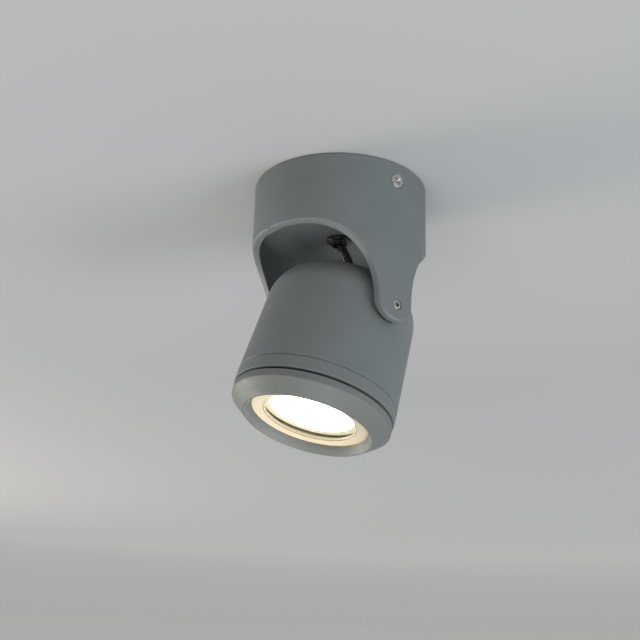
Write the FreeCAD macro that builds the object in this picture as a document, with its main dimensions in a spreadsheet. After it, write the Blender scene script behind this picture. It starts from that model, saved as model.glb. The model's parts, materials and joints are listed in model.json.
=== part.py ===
"""Surface mounted ceiling spotlight: a round canopy with two ears, and a lamp head that tilts.

Millimetres and degrees. +Z is up and Z = 0 is the ceiling. The canopy hangs below it on the
Z axis, and the head tilts about a line along X between the canopy's two ears.
Pieces of the head are drawn in the head's own frame, with the pivot line at the origin and the
lamp shining along -Z, and are then lowered to the pivot and turned to the tilt at rest.
"""
import FreeCAD
import Part
import math
import os
import re
import Sketcher
from FreeCAD import Placement, Rotation, Vector

doc = FreeCAD.newDocument("ceiling_spotlight")

# ---------------------------------------------------------------------------
# Driving dimensions: name, number, meaning
# ---------------------------------------------------------------------------
SIZES = [
    # canopy
    ("canopy_radius", 45.0, "outside radius of the canopy"),
    ("canopy_wall", 3.9, "wall of the canopy and its ears"),
    ("partition_drop", 26.0, "ceiling to the underside of the partition"),
    ("partition_wall", 3.6, "thickness of the partition"),
    ("arch_skirt", 7.6, "underside of the partition to the top of each arch"),
    ("ear_half_width", 10.5, "half width of an ear at its round tip"),
    ("tip_above_pivot", 2.4, "tilt axis up to the centre of an ear's round tip"),
    ("pivot_drop", 74.0, "ceiling to the tilt axis"),
    ("rest_tilt", 17.2, "tilt of the head in the photographed pose"),
    ("ear_boss_radius", 7.0, "radius of the flat boss inside an ear"),
    ("ear_boss_height", 1.4, "height of the flat boss inside an ear"),
    ("cut_rounding", 0.5, "rounding of the edges round the arches and ears"),
    # side screws and strap
    ("side_screw_drop", 9.3, "ceiling to the canopy's side screws"),
    ("side_screw_radius", 1.95, "thread radius of a side screw"),
    ("side_screw_head", 3.9, "head radius of a side screw"),
    ("side_screw_cone", 2.1, "depth of the countersunk head"),
    ("side_screw_sink", 0.15, "depth of a side screw's head below the wall's surface"),
    ("side_screw_length", 10.0, "overall length of a side screw"),
    ("strap_sheet", 2.0, "sheet thickness of the ceiling strap"),
    ("strap_width", 16.0, "width of the ceiling strap"),
    ("strap_tab_margin", 6.7, "side screw to the lower end of a strap tab"),
    ("strap_gap", 0.4, "gap between a strap tab and the canopy wall"),
    ("strap_bend", 1.2, "inside radius of a strap bend"),
    ("strap_disc_radius", 17.0, "radius of the strap's round centre"),
    ("slot_spacing", 54.0, "distance between the two ceiling screw slots"),
    ("slot_half_width", 2.25, "half width of a ceiling screw slot"),
    ("slot_length", 10.0, "length of a ceiling screw slot"),
    # supply entry
    ("entry_hole_radius", 8.0, "hole for the supply grommet in the strap"),
    ("entry_bore_radius", 4.5, "bore of the supply grommet"),
    ("entry_flange_radius", 10.5, "flange radius of the supply grommet"),
    ("entry_flange_height", 1.8, "flange height of the supply grommet"),
    # cable and its bushes
    ("cable_radius", 2.4, "radius of the cable"),
    ("cable_fit", 0.05, "gap round the cable in the canopy bush"),
    ("cable_slack_fit", 0.35, "gap round the cable in the head bush"),
    ("bush_hole_radius", 4.6, "hole for a cable bush"),
    ("bush_flange_radius", 6.4, "flange radius of the canopy bush"),
    ("bush_flange_height", 2.0, "flange height of the canopy bush"),
    ("bush_snout_length", 3.2, "tapered snout below the canopy bush"),
    ("bush_snout_radius", 3.2, "end radius of the snout"),
    ("bush_lip_radius", 5.6, "radius of a bush's snap lip"),
    ("bush_lip_height", 1.6, "height of a bush's snap lip"),
    ("head_bush_radius", 6.0, "flange radius of the head bush"),
    ("head_bush_height", 1.4, "flange height of the head bush"),
    ("cable_top_drop", 17.0, "ceiling to the stripped end of the cable"),
    ("cable_head_end", 2.6, "inside of the head's rear wall to the stripped end"),
    ("core_radius", 0.8, "radius of an insulated core"),
    ("core_circle", 1.3, "cable centre to the centre of a core"),
    # terminal block
    ("block_pitch", 10.0, "distance between terminal poles"),
    ("block_depth", 15.0, "depth of the terminal block"),
    ("block_height", 11.0, "height of the terminal block"),
    ("block_floor", 3.0, "height of the block's base"),
    ("block_pole_width", 7.4, "width of one pole of the block"),
    ("block_place", 22.0, "canopy axis to the centre of the block"),
    ("clamp_radius", 2.2, "outside radius of a brass clamp tube"),
    ("clamp_bore", 1.3, "bore of a brass clamp tube"),
    ("clamp_height", 6.0, "partition to the centre of a clamp tube"),
    ("clamp_screw_radius", 1.4, "radius of a terminal screw"),
    ("clamp_screw_place", 3.6, "block centre to a terminal screw"),
    ("block_screw_radius", 1.2, "thread radius of the block's fixing screw"),
    ("block_screw_head", 2.3, "head radius of the block's fixing screw"),
    ("block_screw_bite", 2.0, "depth of the fixing screw in the partition"),
    # earth point in the canopy
    ("earth_place", 24.0, "canopy axis to the earth screw"),
    ("earth_screw_radius", 1.9, "thread radius of the earth screw"),
    ("earth_boss_radius", 4.2, "radius of the earth boss"),
    ("earth_boss_height", 3.0, "height of the earth boss"),
    ("tag_radius", 3.8, "radius of a ring terminal"),
    ("tag_sheet", 0.8, "thickness of a ring terminal"),
    ("tag_barrel_radius", 1.5, "radius of a ring terminal's barrel"),
    ("tag_barrel_length", 5.0, "length of a ring terminal's barrel"),
    # pivots
    ("pivot_thread_radius", 2.5, "thread radius of a pivot screw"),
    ("pivot_pin_radius", 2.0, "radius of a pivot screw's plain end"),
    ("pivot_sink", 0.4, "depth of a pivot screw below the ear's surface"),
    ("pivot_running_fit", 0.05, "gap between the plain end and its bush"),
    ("pivot_pin_bite", 2.4, "depth of a pivot screw's plain end below the head's flat"),
    ("pivot_key_radius", 1.44, "corner radius of the hexagon socket"),
    ("pivot_key_depth", 3.0, "depth of the hexagon socket"),
    ("pivot_flat_radius", 7.4, "radius of the flat on the head"),
    ("pivot_bush_radius", 3.3, "outside radius of a pivot bush"),
    ("pivot_bush_flange", 6.0, "flange radius of a pivot bush"),
    ("pivot_bush_rim", 1.1, "thickness of a pivot bush's flange"),
    ("washer_radius", 6.6, "radius of a friction washer"),
    ("washer_thickness", 1.2, "thickness of a friction washer"),
    # head body
    ("head_back", 23.1, "tilt axis back to the rear face"),
    ("ear_gap", 1.2, "gap between the head's front band and the inside of an ear"),
    ("head_taper", 1.7, "how much narrower the head is at the tilt axis"),
    ("head_shoulder", 18.8, "radius of the rear shoulder"),
    ("head_wall", 5.5, "wall of the head at its front band"),
    ("head_rear_wall", 3.5, "thickness of the rear wall"),
    ("head_band", 6.3, "front face of the head body back to the fine groove"),
    ("groove_width", 0.8, "width of the fine groove"),
    ("groove_depth", 0.7, "depth of the fine groove"),
    ("head_front", 46.2, "tilt axis to the front face of the head body"),
    # front ring
    ("ring_gap", 1.2, "gap between head body and front ring"),
    ("ring_inset", 0.4, "how much smaller the ring's radius is than the head's"),
    ("ring_band", 3.6, "height of the ring's straight band"),
    ("ring_height", 9.8, "rear face of the ring to its front edge"),
    ("ring_bevel", 7.7, "width of the ring's bevel"),
    ("ring_lip", 2.9, "width of the slope inside the ring's front edge"),
    ("ring_lip_depth", 4.3, "depth of the slope inside the ring's front edge"),
    ("ring_throat_length", 0.3, "length of the ring's throat"),
    ("ring_skirt_wall", 2.5, "wall of the threaded skirt"),
    ("skirt_step", 1.6, "how much wider the skirt is than the lamp chamber"),
    ("ring_skirt_length", 8.0, "length of the threaded skirt"),
    ("thread_gap", 0.3, "gap round the threaded skirt"),
    ("ring_edge", 0.5, "rounding of the ring's outer edges"),
    ("seal_width", 1.8, "width of the ring seal"),
    ("seal_gap", 0.4, "gap between the skirt and the ring seal"),
    # glass
    ("glass_gap", 0.3, "gap round the glass and its gasket"),
    ("glass_thickness", 2.0, "thickness of the glass"),
    ("gasket_thickness", 1.6, "thickness of the gasket"),
    ("gasket_hole", 23.0, "radius of the gasket's hole"),
    ("clamp_ring_width", 2.9, "width of the ring that clamps the glass"),
    ("clamp_ring_height", 1.6, "height of the ring that clamps the glass"),
    ("clamp_ring_gap", 0.1, "gap between the glass and the ring that clamps it"),
    # lamp
    ("lamp_gap", 0.4, "gap between the lamp and the glass"),
    ("lamp_length", 43.7, "length of the lamp from its face to its base"),
    ("lamp_rim_radius", 25.4, "radius of the lamp's rim"),
    ("lamp_rim_height", 4.2, "height of the lamp's rim"),
    ("lamp_neck_radius", 15.5, "radius of the lamp shell's neck"),
    ("lamp_base_height", 9.1, "height of the lamp base below the shell"),
    ("lamp_shell_wall", 1.2, "wall of the lamp shell"),
    ("lamp_base_radius", 13.6, "radius of the lamp base"),
    ("lens_radius", 21.0, "radius of the lamp's lens"),
    ("lens_thickness", 2.2, "thickness of the lamp's lens"),
    ("led_board_radius", 20.0, "radius of the LED board"),
    ("led_depth", 7.6, "lamp face to the front of the LED board"),
    ("led_board_thickness", 1.6, "thickness of the LED board"),
    ("led_count", 3, "number of LED chips"),
    ("led_circle", 11.5, "radius of the circle of LED chips"),
    ("led_side", 3.5, "side of an LED chip"),
    ("led_height", 1.0, "height of an LED chip"),
    ("led_first_angle", 20.0, "angle of the first LED chip"),
    ("driver_width", 17.0, "width of the driver board"),
    ("driver_length", 24.0, "length of the driver board"),
    ("driver_sheet", 1.2, "thickness of the driver board"),
    ("pin_spacing", 10.0, "distance between the lamp's two pins"),
    ("pin_shank_radius", 1.5, "radius of a lamp pin's shank"),
    ("pin_head_radius", 2.45, "radius of a lamp pin's head"),
    ("pin_shank_length", 4.5, "length of a lamp pin's shank"),
    ("pin_head_length", 2.8, "length of a lamp pin's head"),
    # lampholder
    ("holder_radius", 12.0, "radius of the lampholder"),
    ("holder_length", 10.6, "length of the lampholder's front body"),
    ("holder_cover_length", 3.4, "length of the lampholder's rear cover"),
    ("holder_hole_radius", 2.9, "radius of a lampholder pin hole"),
    ("holder_hole_depth", 8.6, "depth of a lampholder pin hole"),
    ("contact_width", 3.0, "width of a contact strip"),
    ("contact_sheet", 0.4, "thickness of a contact strip"),
    ("holder_screw_place", 8.5, "lamp axis to a lampholder screw"),
    ("holder_screw_radius", 1.2, "thread radius of a lampholder screw"),
    ("holder_screw_length", 9.0, "shank length of a lampholder screw"),
    ("bracket_sheet", 1.2, "sheet thickness of the lampholder bracket"),
    ("bracket_width", 15.0, "width of the lampholder bracket"),
    ("bracket_hole", 6.0, "radius of the bracket's wire hole"),
    ("bracket_earth_place", 16.0, "lamp axis to the bracket's earth screw"),
    ("bracket_boss_place", 24.0, "lamp axis to a bracket boss"),
    ("bracket_boss_radius", 3.6, "radius of a bracket boss"),
    ("bracket_boss_root", 0.6, "depth of a boss's root in the rear wall"),
    ("bracket_screw_radius", 1.45, "thread radius of a bracket screw"),
    ("bracket_screw_length", 7.0, "shank length of a bracket screw"),
    ("pan_head_radius", 2.8, "head radius of a pan head screw"),
    ("pan_head_height", 1.8, "head height of a pan head screw"),
    ("screw_clearance", 0.2, "gap round a screw in a plain hole"),
]
NAMES = {name for name, _, _ in SIZES}

sheet = doc.addObject("Spreadsheet::Sheet", "Sizes")
for row, (name, number, meaning) in enumerate(SIZES, start=1):
    sheet.set(f"A{row}", meaning)
    sheet.set(f"B{row}", str(number))
    sheet.setAlias(f"B{row}", name)
doc.recompute()

# Sizes that follow from the driving ones
CANOPY_BORE = "(canopy_radius - canopy_wall)"
PARTITION_TOP = "(partition_wall - partition_drop)"
ARCH_TOP = "(partition_drop + arch_skirt)"
EAR_TIP = "(pivot_drop - tip_above_pivot)"
EAR_BOTTOM = f"({EAR_TIP} + ear_half_width)"
EAR_FACE = f"({CANOPY_BORE} - ear_boss_height)"
PIVOT_FLAT = f"({EAR_FACE} - washer_thickness - pivot_bush_rim)"
PIVOT_END = f"({PIVOT_FLAT} - pivot_pin_bite)"
STRAP_REACH = f"(sqrt(pow({CANOPY_BORE}; 2) - pow(strap_width / 2; 2)) - strap_gap)"
TAB_END = "(side_screw_drop + strap_tab_margin)"
HEAD_RADIUS = f"({CANOPY_BORE} - ear_gap)"
HEAD_BORE = f"({HEAD_RADIUS} - head_wall)"
HEAD_REAR_INSIDE = "(head_back - head_rear_wall)"
CABLE_END = f"({HEAD_REAR_INSIDE} - cable_head_end)"
GROOVE = "(head_front - head_band)"
SIDE_SLOPE = f"(head_taper / {GROOVE})"
REAR_RADIUS = f"({HEAD_RADIUS} - head_taper - {SIDE_SLOPE} * head_back)"
RING_BACK = "(head_front + ring_gap)"
RING_FRONT = f"({RING_BACK} + ring_height)"
RING_RADIUS = f"({HEAD_RADIUS} - ring_inset)"
RING_MOUTH = f"({RING_RADIUS} - ring_bevel)"
RING_THROAT = f"({RING_MOUTH} - ring_lip)"
THROAT_FRONT = f"({RING_FRONT} - ring_lip_depth)"
RING_SKIRT = f"({HEAD_BORE} + skirt_step)"
RING_BORE = f"({RING_SKIRT} - ring_skirt_wall)"
GLASS_RADIUS = f"({RING_BORE} - glass_gap)"
GASKET_FRONT = f"({THROAT_FRONT} - ring_throat_length)"
GLASS_FRONT = f"({GASKET_FRONT} - gasket_thickness)"
GLASS_BACK = f"({GLASS_FRONT} - glass_thickness)"
CLAMP_FRONT = f"({GLASS_BACK} - clamp_ring_gap)"
LAMP_FACE = f"({GLASS_BACK} - lamp_gap)"
LAMP_BASE = f"({LAMP_FACE} - lamp_length)"
LAMP_NECK = f"({LAMP_BASE} + lamp_base_height)"
LED_FRONT = f"({LAMP_FACE} - led_depth)"
LED_BACK = f"({LED_FRONT} - led_board_thickness)"
HOLDER_BACK = f"({LAMP_BASE} - holder_length)"
COVER_BACK = f"({HOLDER_BACK} - holder_cover_length)"
BRACKET_BACK = f"({COVER_BACK} - bracket_sheet)"
PIN_END = f"({LAMP_BASE} - pin_shank_length - pin_head_length)"
SOCKET_FLOOR = f"({LAMP_BASE} - holder_hole_depth)"
TAG_HEIGHT = f"({PARTITION_TOP} + earth_boss_height)"
CLAMP_LEVEL = f"({PARTITION_TOP} + clamp_height)"


# ---------------------------------------------------------------------------
# Helpers
# ---------------------------------------------------------------------------
def formula(text):
    """Write a formula of size names as a spreadsheet expression."""
    return re.sub(r"[a-z_]+", lambda word: "Sizes." + word[0] if word[0] in NAMES else word[0], text)


def value(text):
    """The number that a formula of size names gives now."""
    return float(sheet.evalExpression(formula(text)))


def bind(thing, **formulas):
    """Tie properties of an object to formulas of size names."""
    for name, text in formulas.items():
        thing.setExpression(name, formula(text))
    return thing


def place(thing, x="0", y="0", z="0", axis=(0, 0, 1), angle="0"):
    """Tie an object's place and its turn about a fixed axis to formulas."""
    thing.Placement = Placement(Vector(), Rotation(Vector(*axis), 1))
    for name, text in (("Base.x", x), ("Base.y", y), ("Base.z", z), ("Rotation.Angle", angle)):
        thing.setExpression("Placement." + name, formula(text))
    return thing


def in_head(name, thing):
    """Lower a piece drawn in the head's frame to the pivot and tilt it."""
    tilted = group(name + "_tilted", thing)
    return place(tilted, z="-pivot_drop", axis=(1, 0, 0), angle="-rest_tilt")


TURNS = {"x": ((0, 1, 0), "90"), "y": ((1, 0, 0), "-90"), "z": ((0, 0, 1), "0")}


def rod(name, radius, length, x="0", y="0", z="0", along="z"):
    """A cylinder that starts at a point and runs along +X, +Y or +Z."""
    axis, angle = TURNS[along]
    thing = bind(doc.addObject("Part::Cylinder", name), Radius=radius, Height=length)
    return place(thing, x, y, z, axis, angle)


def cone(name, near, far, length, x="0", y="0", z="0", along="z"):
    """A cone from one radius to another, placed as a rod is."""
    axis, angle = TURNS[along]
    thing = bind(doc.addObject("Part::Cone", name), Radius1=near, Radius2=far, Height=length)
    return place(thing, x, y, z, axis, angle)


def block(name, wide, deep, high, x="0", y="0", z="0"):
    """A box centred on x and y that rises from z."""
    thing = bind(doc.addObject("Part::Box", name), Length=wide, Width=deep, Height=high)
    return place(thing, f"{x} - ({wide}) / 2", f"{y} - ({deep}) / 2", z)


def fuse(name, *things):
    """Join overlapping solids into one."""
    result = doc.addObject("Part::MultiFuse", name)
    result.Shapes = list(things)
    result.Refine = True
    return result


def common(name, *things):
    """The space that all the solids share."""
    result = doc.addObject("Part::MultiCommon", name)
    result.Shapes = list(things)
    return result


def cut(name, base, *tools):
    """Take tools away from a base."""
    result = doc.addObject("Part::Cut", name)
    result.Base = base
    result.Tool = tools[0] if len(tools) == 1 else fuse(name + "_tools", *tools)
    return result


def group(name, *things):
    """Separate solids under one name."""
    result = doc.addObject("Part::Compound", name)
    result.Links = list(things)
    return result


def mirrored(name, thing, normal=(1, 0, 0)):
    """A copy on the other side of a plane through the origin."""
    result = doc.addObject("Part::Mirroring", name)
    result.Source = thing
    result.Normal = Vector(*normal)
    result.Base = Vector()
    return result


def outline(body, name, plane, corners):
    """A closed sketch on an origin plane whose corners are formulas (across, up)."""
    sketch = body.newObject("Sketcher::SketchObject", name)
    face = [item for item in body.Origin.OriginFeatures if item.Role == plane][0]
    sketch.AttachmentSupport = (face, "")
    sketch.MapMode = "FlatFace"
    points = [Vector(value(across), value(up), 0) for across, up in corners]
    count = len(points)
    for number in range(count):
        line = Part.LineSegment(points[number], points[(number + 1) % count])
        sketch.addGeometry(line, False)
    for number in range(count):
        sketch.addConstraint(Sketcher.Constraint("Coincident", number, 2, (number + 1) % count, 1))
    for number, (across, up) in enumerate(corners):
        for kind, text, axis in (("DistanceX", across, -2), ("DistanceY", up, -1)):
            if abs(value(text)) < 1e-9:
                sketch.addConstraint(Sketcher.Constraint("PointOnObject", number, 1, axis))
                continue
            fixed = Sketcher.Constraint(kind, -1, 1, number, 1, value(text))
            index = sketch.addConstraint(fixed)
            sketch.setExpression(f"Constraints[{index}]", formula(text))
    return sketch


def turned(name, corners):
    """A body turned about Z from corners (radius, height)."""
    body = doc.addObject("PartDesign::Body", name)
    sketch = outline(body, name + "_section", "XZ_Plane", corners)
    turn = body.newObject("PartDesign::Revolution", name + "_turn")
    turn.Profile = sketch
    turn.ReferenceAxis = (sketch, ["V_Axis"])
    turn.Angle = 360
    sketch.Visibility = False
    return body


def head_turned(name, corners):
    """A body of the head, turned from corners (radius, distance in front of the pivot)."""
    return turned(name, [(radius, f"-({front})") for radius, front in corners])


def edges_where(shape, test):
    """Numbers of the edges whose middle and end points all pass a test."""
    found = []
    for number, edge in enumerate(shape.Edges, start=1):
        first, last = edge.ParameterRange
        steps = [edge.valueAt(first + (last - first) * part) for part in (0.02, 0.5, 0.98)]
        if all(test(point) for point in steps):
            found.append(number)
    return found


def rounded(name, base, test, radius):
    """Round the edges of a solid that pass a test."""
    doc.recompute()
    result = doc.addObject("Part::Fillet", name)
    result.Base = base
    size = value(radius)
    result.Edges = [(number, size, size) for number in edges_where(base.Shape, test)]
    return result


def body_fillet(body, name, test, radius):
    """Round the edges of a body's last feature that pass a test."""
    doc.recompute()
    tip = body.Tip
    numbers = edges_where(tip.Shape, test)
    fillet = body.newObject("PartDesign::Fillet", name)
    fillet.Base = (tip, [f"Edge{number}" for number in numbers])
    bind(fillet, Radius=radius)
    return fillet


def ring_edge_test(radius, level):
    """A test for the circular edge of one radius and height about Z."""
    wanted_radius = value(radius)
    wanted_level = value(level)

    def test(point):
        off = abs(math.hypot(point.x, point.y) - wanted_radius)
        return off < 0.01 and abs(point.z - wanted_level) < 0.01

    return test


def cable(name, route, radius):
    """A round cable along straight runs joined by arcs as large as the runs allow."""
    pieces = []
    start = route[0]
    for before, corner, after in zip(route, route[1:], route[2:]):
        arriving = (corner - before).normalize()
        leaving = (after - corner).normalize()
        turn = arriving.getAngle(leaving)
        reach = 0.45 * min((corner - before).Length, (after - corner).Length)
        bend = reach / math.tan(turn / 2)
        first = corner - arriving * reach
        last = corner + leaving * reach
        inward = (leaving - arriving).normalize()
        middle = corner + inward * (bend / math.cos(turn / 2) - bend)
        pieces.append(Part.LineSegment(start, first).toShape())
        pieces.append(Part.Arc(first, middle, last).toShape())
        start = last
        print(f"{name}: bend radius {bend:.1f}")
    pieces.append(Part.LineSegment(start, route[-1]).toShape())
    path = Part.Wire(pieces)
    ring = Part.Wire(Part.Circle(route[0], route[1] - route[0], value(radius)).toShape())
    solid = path.makePipeShell([ring], True, False)
    ideal = math.pi * value(radius) ** 2 * path.Length
    print(f"{name}: length {path.Length:.1f}, volume off by {solid.Volume / ideal - 1:.4f}")
    thing = doc.addObject("Part::Feature", name)
    thing.Shape = solid
    return thing


NODES = []


def node(name, thing):
    """Give a finished piece its name and list it for writing."""
    thing.Label = name
    NODES.append(thing)
    return thing


# ---------------------------------------------------------------------------
# Screws, drawn standing on Z = 0 with the head up
# ---------------------------------------------------------------------------
def cross_recess(name, wide, deep):
    """A tapered cross socket that sinks from Z = 0."""
    bar = block(name + "_bar", f"2 * {wide}", f"0.4 * {wide}", deep, z=f"-({deep})")
    across = block(name + "_across", f"0.4 * {wide}", f"2 * {wide}", deep, z=f"-({deep})")
    taper = cone(name + "_taper", f"0.25 * {wide}", wide, deep, z=f"-({deep})")
    return common(name, fuse(name + "_bars", bar, across), taper)


def pan_screw(name, thread, length, head="pan_head_radius"):
    """A pan head cross screw whose head stands on Z = 0."""
    corners = [
        ("0", "pan_head_height"),
        (f"0.6 * {head}", "pan_head_height"),
        (head, "0.55 * pan_head_height"),
        (head, "0"),
        (thread, "0"),
        (thread, f"-({length}) + 0.4 * {thread}"),
        (f"0.6 * {thread}", f"-({length})"),
        ("0", f"-({length})"),
    ]
    blank = turned(name + "_blank", corners)
    recess = cross_recess(name + "_recess", f"0.55 * {head}", "0.7 * pan_head_height")
    place(recess, z="pan_head_height")
    return cut(name, blank, recess)


# ---------------------------------------------------------------------------
# Canopy
# ---------------------------------------------------------------------------
def make_canopy():
    cup = turned("canopy_cup", [
        ("bush_hole_radius", PARTITION_TOP),
        (CANOPY_BORE, PARTITION_TOP),
        (CANOPY_BORE, "0"),
        ("canopy_radius", "0"),
        ("canopy_radius", f"-{EAR_BOTTOM}"),
        (CANOPY_BORE, f"-{EAR_BOTTOM}"),
        (CANOPY_BORE, "-partition_drop"),
        ("bush_hole_radius", "-partition_drop"),
    ])
    # each side of an arch is a quarter of an ellipse, drawn with its longer half axis first
    rise, spread = f"{EAR_TIP} - {ARCH_TOP}", "canopy_radius - ear_half_width"
    upright = value(rise) >= value(spread)
    longer, shorter = (rise, spread) if upright else (spread, rise)
    ellipse = doc.addObject("Part::Ellipse", "arch_ellipse")
    bind(ellipse, MajorRadius=longer, MinorRadius=shorter)
    place(ellipse, angle="0" if upright else "90")
    arch = doc.addObject("Part::Extrusion", "arch_column")
    arch.Base = ellipse
    arch.DirMode = "Custom"
    arch.Dir = Vector(0, 0, 1)
    arch.Solid = True
    arch.Symmetric = True
    bind(arch, LengthFwd="2 * canopy_radius + 4")
    place(arch, y="canopy_radius", z=f"-{EAR_TIP}", axis=(0, -1, 0), angle="90")
    below = block("arch_below", "2 * canopy_radius + 4", "canopy_radius", EAR_BOTTOM,
                  y="ear_half_width + canopy_radius / 2", z=f"-{EAR_TIP} - {EAR_BOTTOM}")
    front_arch = fuse("arch_cutter", arch, below)
    back_arch = mirrored("arch_cutter_mirrored", front_arch, (0, 1, 0))
    # below its centre the tip of each ear is round
    under = block("tip_block", "2 * canopy_radius + 4", "4 * ear_half_width", "2 * ear_half_width",
                  z=f"-{EAR_TIP} - 2 * ear_half_width")
    tip = rod("tip_round", "ear_half_width", "2 * canopy_radius + 8", x="-canopy_radius - 4",
              z=f"-{EAR_TIP}", along="x")
    under_tip = cut("tip_cutter", under, tip)
    shaped = cut("canopy_arched", cup, front_arch, back_arch, under_tip)

    def on_cut(point):
        reach = math.hypot(point.x, point.y)
        on_wall = min(abs(reach - value("canopy_radius")), abs(reach - value(CANOPY_BORE))) < 0.01
        return on_wall and point.z < -value(ARCH_TOP) + 0.01

    softened = rounded("canopy_softened", shaped, on_cut, "cut_rounding")

    # flat bosses inside the ears, the earth boss and the hole for the block's screw
    boss = rod("ear_boss", "ear_boss_radius", "ear_boss_height + canopy_wall / 2", x=EAR_FACE,
               z="-pivot_drop", along="x")
    other_boss = mirrored("ear_boss_mirrored", boss)
    earth_boss = rod("earth_boss", "earth_boss_radius", "earth_boss_height + 1", y="-earth_place",
                     z=f"{PARTITION_TOP} - 1")
    whole = fuse("canopy_bossed", softened, boss, other_boss, earth_boss)
    pivot_hole = rod("pivot_hole", "pivot_thread_radius", "2 * canopy_radius + 4",
                     x="-canopy_radius - 2", z="-pivot_drop", along="x")
    screw_hole = rod("side_hole", "side_screw_radius + screw_clearance",
                     "2 * canopy_radius + 4", x="-canopy_radius - 2", z="-side_screw_drop", along="x")
    sink = cone("side_sink", "side_screw_radius + screw_clearance", "side_screw_head",
                "side_screw_cone", x="canopy_radius - side_screw_cone - side_screw_sink",
                z="-side_screw_drop", along="x")
    mouth = rod("side_mouth", "side_screw_head", "2", x="canopy_radius - side_screw_sink",
                z="-side_screw_drop", along="x")
    other_sink = mirrored("side_sink_mirrored", sink)
    other_mouth = mirrored("side_mouth_mirrored", mouth)
    earth_hole = rod("earth_hole", "earth_screw_radius", "earth_boss_height + partition_wall / 2",
                     y="-earth_place", z=f"{PARTITION_TOP} - partition_wall / 2")
    block_hole = rod("block_hole", "block_screw_radius", "2 * block_screw_bite", x="block_pitch / 2",
                     y="block_place", z=f"{PARTITION_TOP} - block_screw_bite")
    return cut("canopy", whole, pivot_hole, screw_hole, sink, other_sink, mouth, other_mouth,
               earth_hole, block_hole)


def make_side_screws():
    blank = turned("side_screw_blank", [
        ("0", "0"),
        ("side_screw_head", "0"),
        ("side_screw_radius", "-side_screw_cone"),
        ("side_screw_radius", "0.8 - side_screw_length"),
        ("side_screw_radius - 0.8", "-side_screw_length"),
        ("0", "-side_screw_length"),
    ])
    recess = cross_recess("side_screw_recess", "0.58 * side_screw_head", "0.85 * side_screw_cone")
    screw = cut("side_screw", blank, recess)
    place(screw, x="canopy_radius - side_screw_sink", z="-side_screw_drop", axis=(0, 1, 0),
          angle="90")
    return group("canopy_side_screws", screw, mirrored("side_screw_mirrored", screw))


def make_ceiling_strap():
    body = doc.addObject("PartDesign::Body", "strap_body")
    inner = f"({STRAP_REACH} - strap_sheet)"
    section = outline(body, "strap_section", "XZ_Plane", [
        (STRAP_REACH, f"-{TAB_END}"),
        (STRAP_REACH, "0"),
        (f"-{STRAP_REACH}", "0"),
        (f"-{STRAP_REACH}", f"-{TAB_END}"),
        (f"-{inner}", f"-{TAB_END}"),
        (f"-{inner}", "-strap_sheet"),
        (inner, "-strap_sheet"),
        (inner, f"-{TAB_END}"),
    ])
    pad = body.newObject("PartDesign::Pad", "strap_pad")
    pad.Profile = section
    pad.Midplane = True
    bind(pad, Length="strap_width")
    section.Visibility = False
    reach = value(STRAP_REACH)
    inside = value(inner)
    sheet_level = value("strap_sheet")
    body_fillet(body, "strap_outer_bend",
                lambda point: abs(abs(point.x) - reach) < 0.01 and abs(point.z) < 0.01,
                "strap_bend + strap_sheet")
    body_fillet(body, "strap_inner_bend",
                lambda point: abs(abs(point.x) - inside) < 0.01
                and abs(point.z + sheet_level) < 0.01,
                "strap_bend")
    disc = rod("strap_disc", "strap_disc_radius", "strap_sheet", z="-strap_sheet")
    plate = fuse("strap_plate", body, disc)
    entry = rod("strap_entry", "entry_hole_radius", "3 * strap_sheet", z="-2 * strap_sheet")
    run = "(slot_length - 2 * slot_half_width)"
    slot = fuse("strap_slot",
                block("slot_middle", run, "2 * slot_half_width", "3 * strap_sheet",
                      x="slot_spacing / 2", z="-2 * strap_sheet"),
                rod("slot_near", "slot_half_width", "3 * strap_sheet",
                    x=f"slot_spacing / 2 - {run} / 2", z="-2 * strap_sheet"),
                rod("slot_far", "slot_half_width", "3 * strap_sheet",
                    x=f"slot_spacing / 2 + {run} / 2", z="-2 * strap_sheet"))
    tab_holes = rod("strap_tab_holes", "side_screw_radius", "2 * canopy_radius",
                    x="-canopy_radius", z="-side_screw_drop", along="x")
    return cut("ceiling_strap", plate, entry, slot, mirrored("strap_slot_mirrored", slot), tab_holes)


def make_supply_grommet():
    return turned("supply_grommet_body", [
        ("entry_bore_radius", "0"),
        ("entry_hole_radius", "0"),
        ("entry_hole_radius", "-strap_sheet"),
        ("entry_flange_radius", "-strap_sheet"),
        ("entry_flange_radius - 0.6", "-strap_sheet - entry_flange_height"),
        ("entry_bore_radius", "-strap_sheet - entry_flange_height"),
    ])


def make_canopy_bush():
    bottom = "(-partition_drop - bush_flange_height)"
    bore = "(cable_radius + cable_fit)"
    return turned("canopy_bush_body", [
        (bore, f"{PARTITION_TOP} + bush_lip_height"),
        ("bush_hole_radius", f"{PARTITION_TOP} + bush_lip_height"),
        ("bush_lip_radius", PARTITION_TOP),
        ("bush_hole_radius", PARTITION_TOP),
        ("bush_hole_radius", "-partition_drop"),
        ("bush_flange_radius", "-partition_drop"),
        ("bush_flange_radius", f"{bottom} + 0.9"),
        ("bush_flange_radius - 0.9", bottom),
        ("bush_snout_radius + 1", bottom),
        ("bush_snout_radius + 0.6", f"{bottom} - bush_snout_length / 2"),
        ("bush_snout_radius", f"{bottom} - bush_snout_length"),
        (bore, f"{bottom} - bush_snout_length"),
    ])


# ---------------------------------------------------------------------------
# Wiring inside the canopy
# ---------------------------------------------------------------------------
POLES = ("-block_pitch", "0", "block_pitch")


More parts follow.
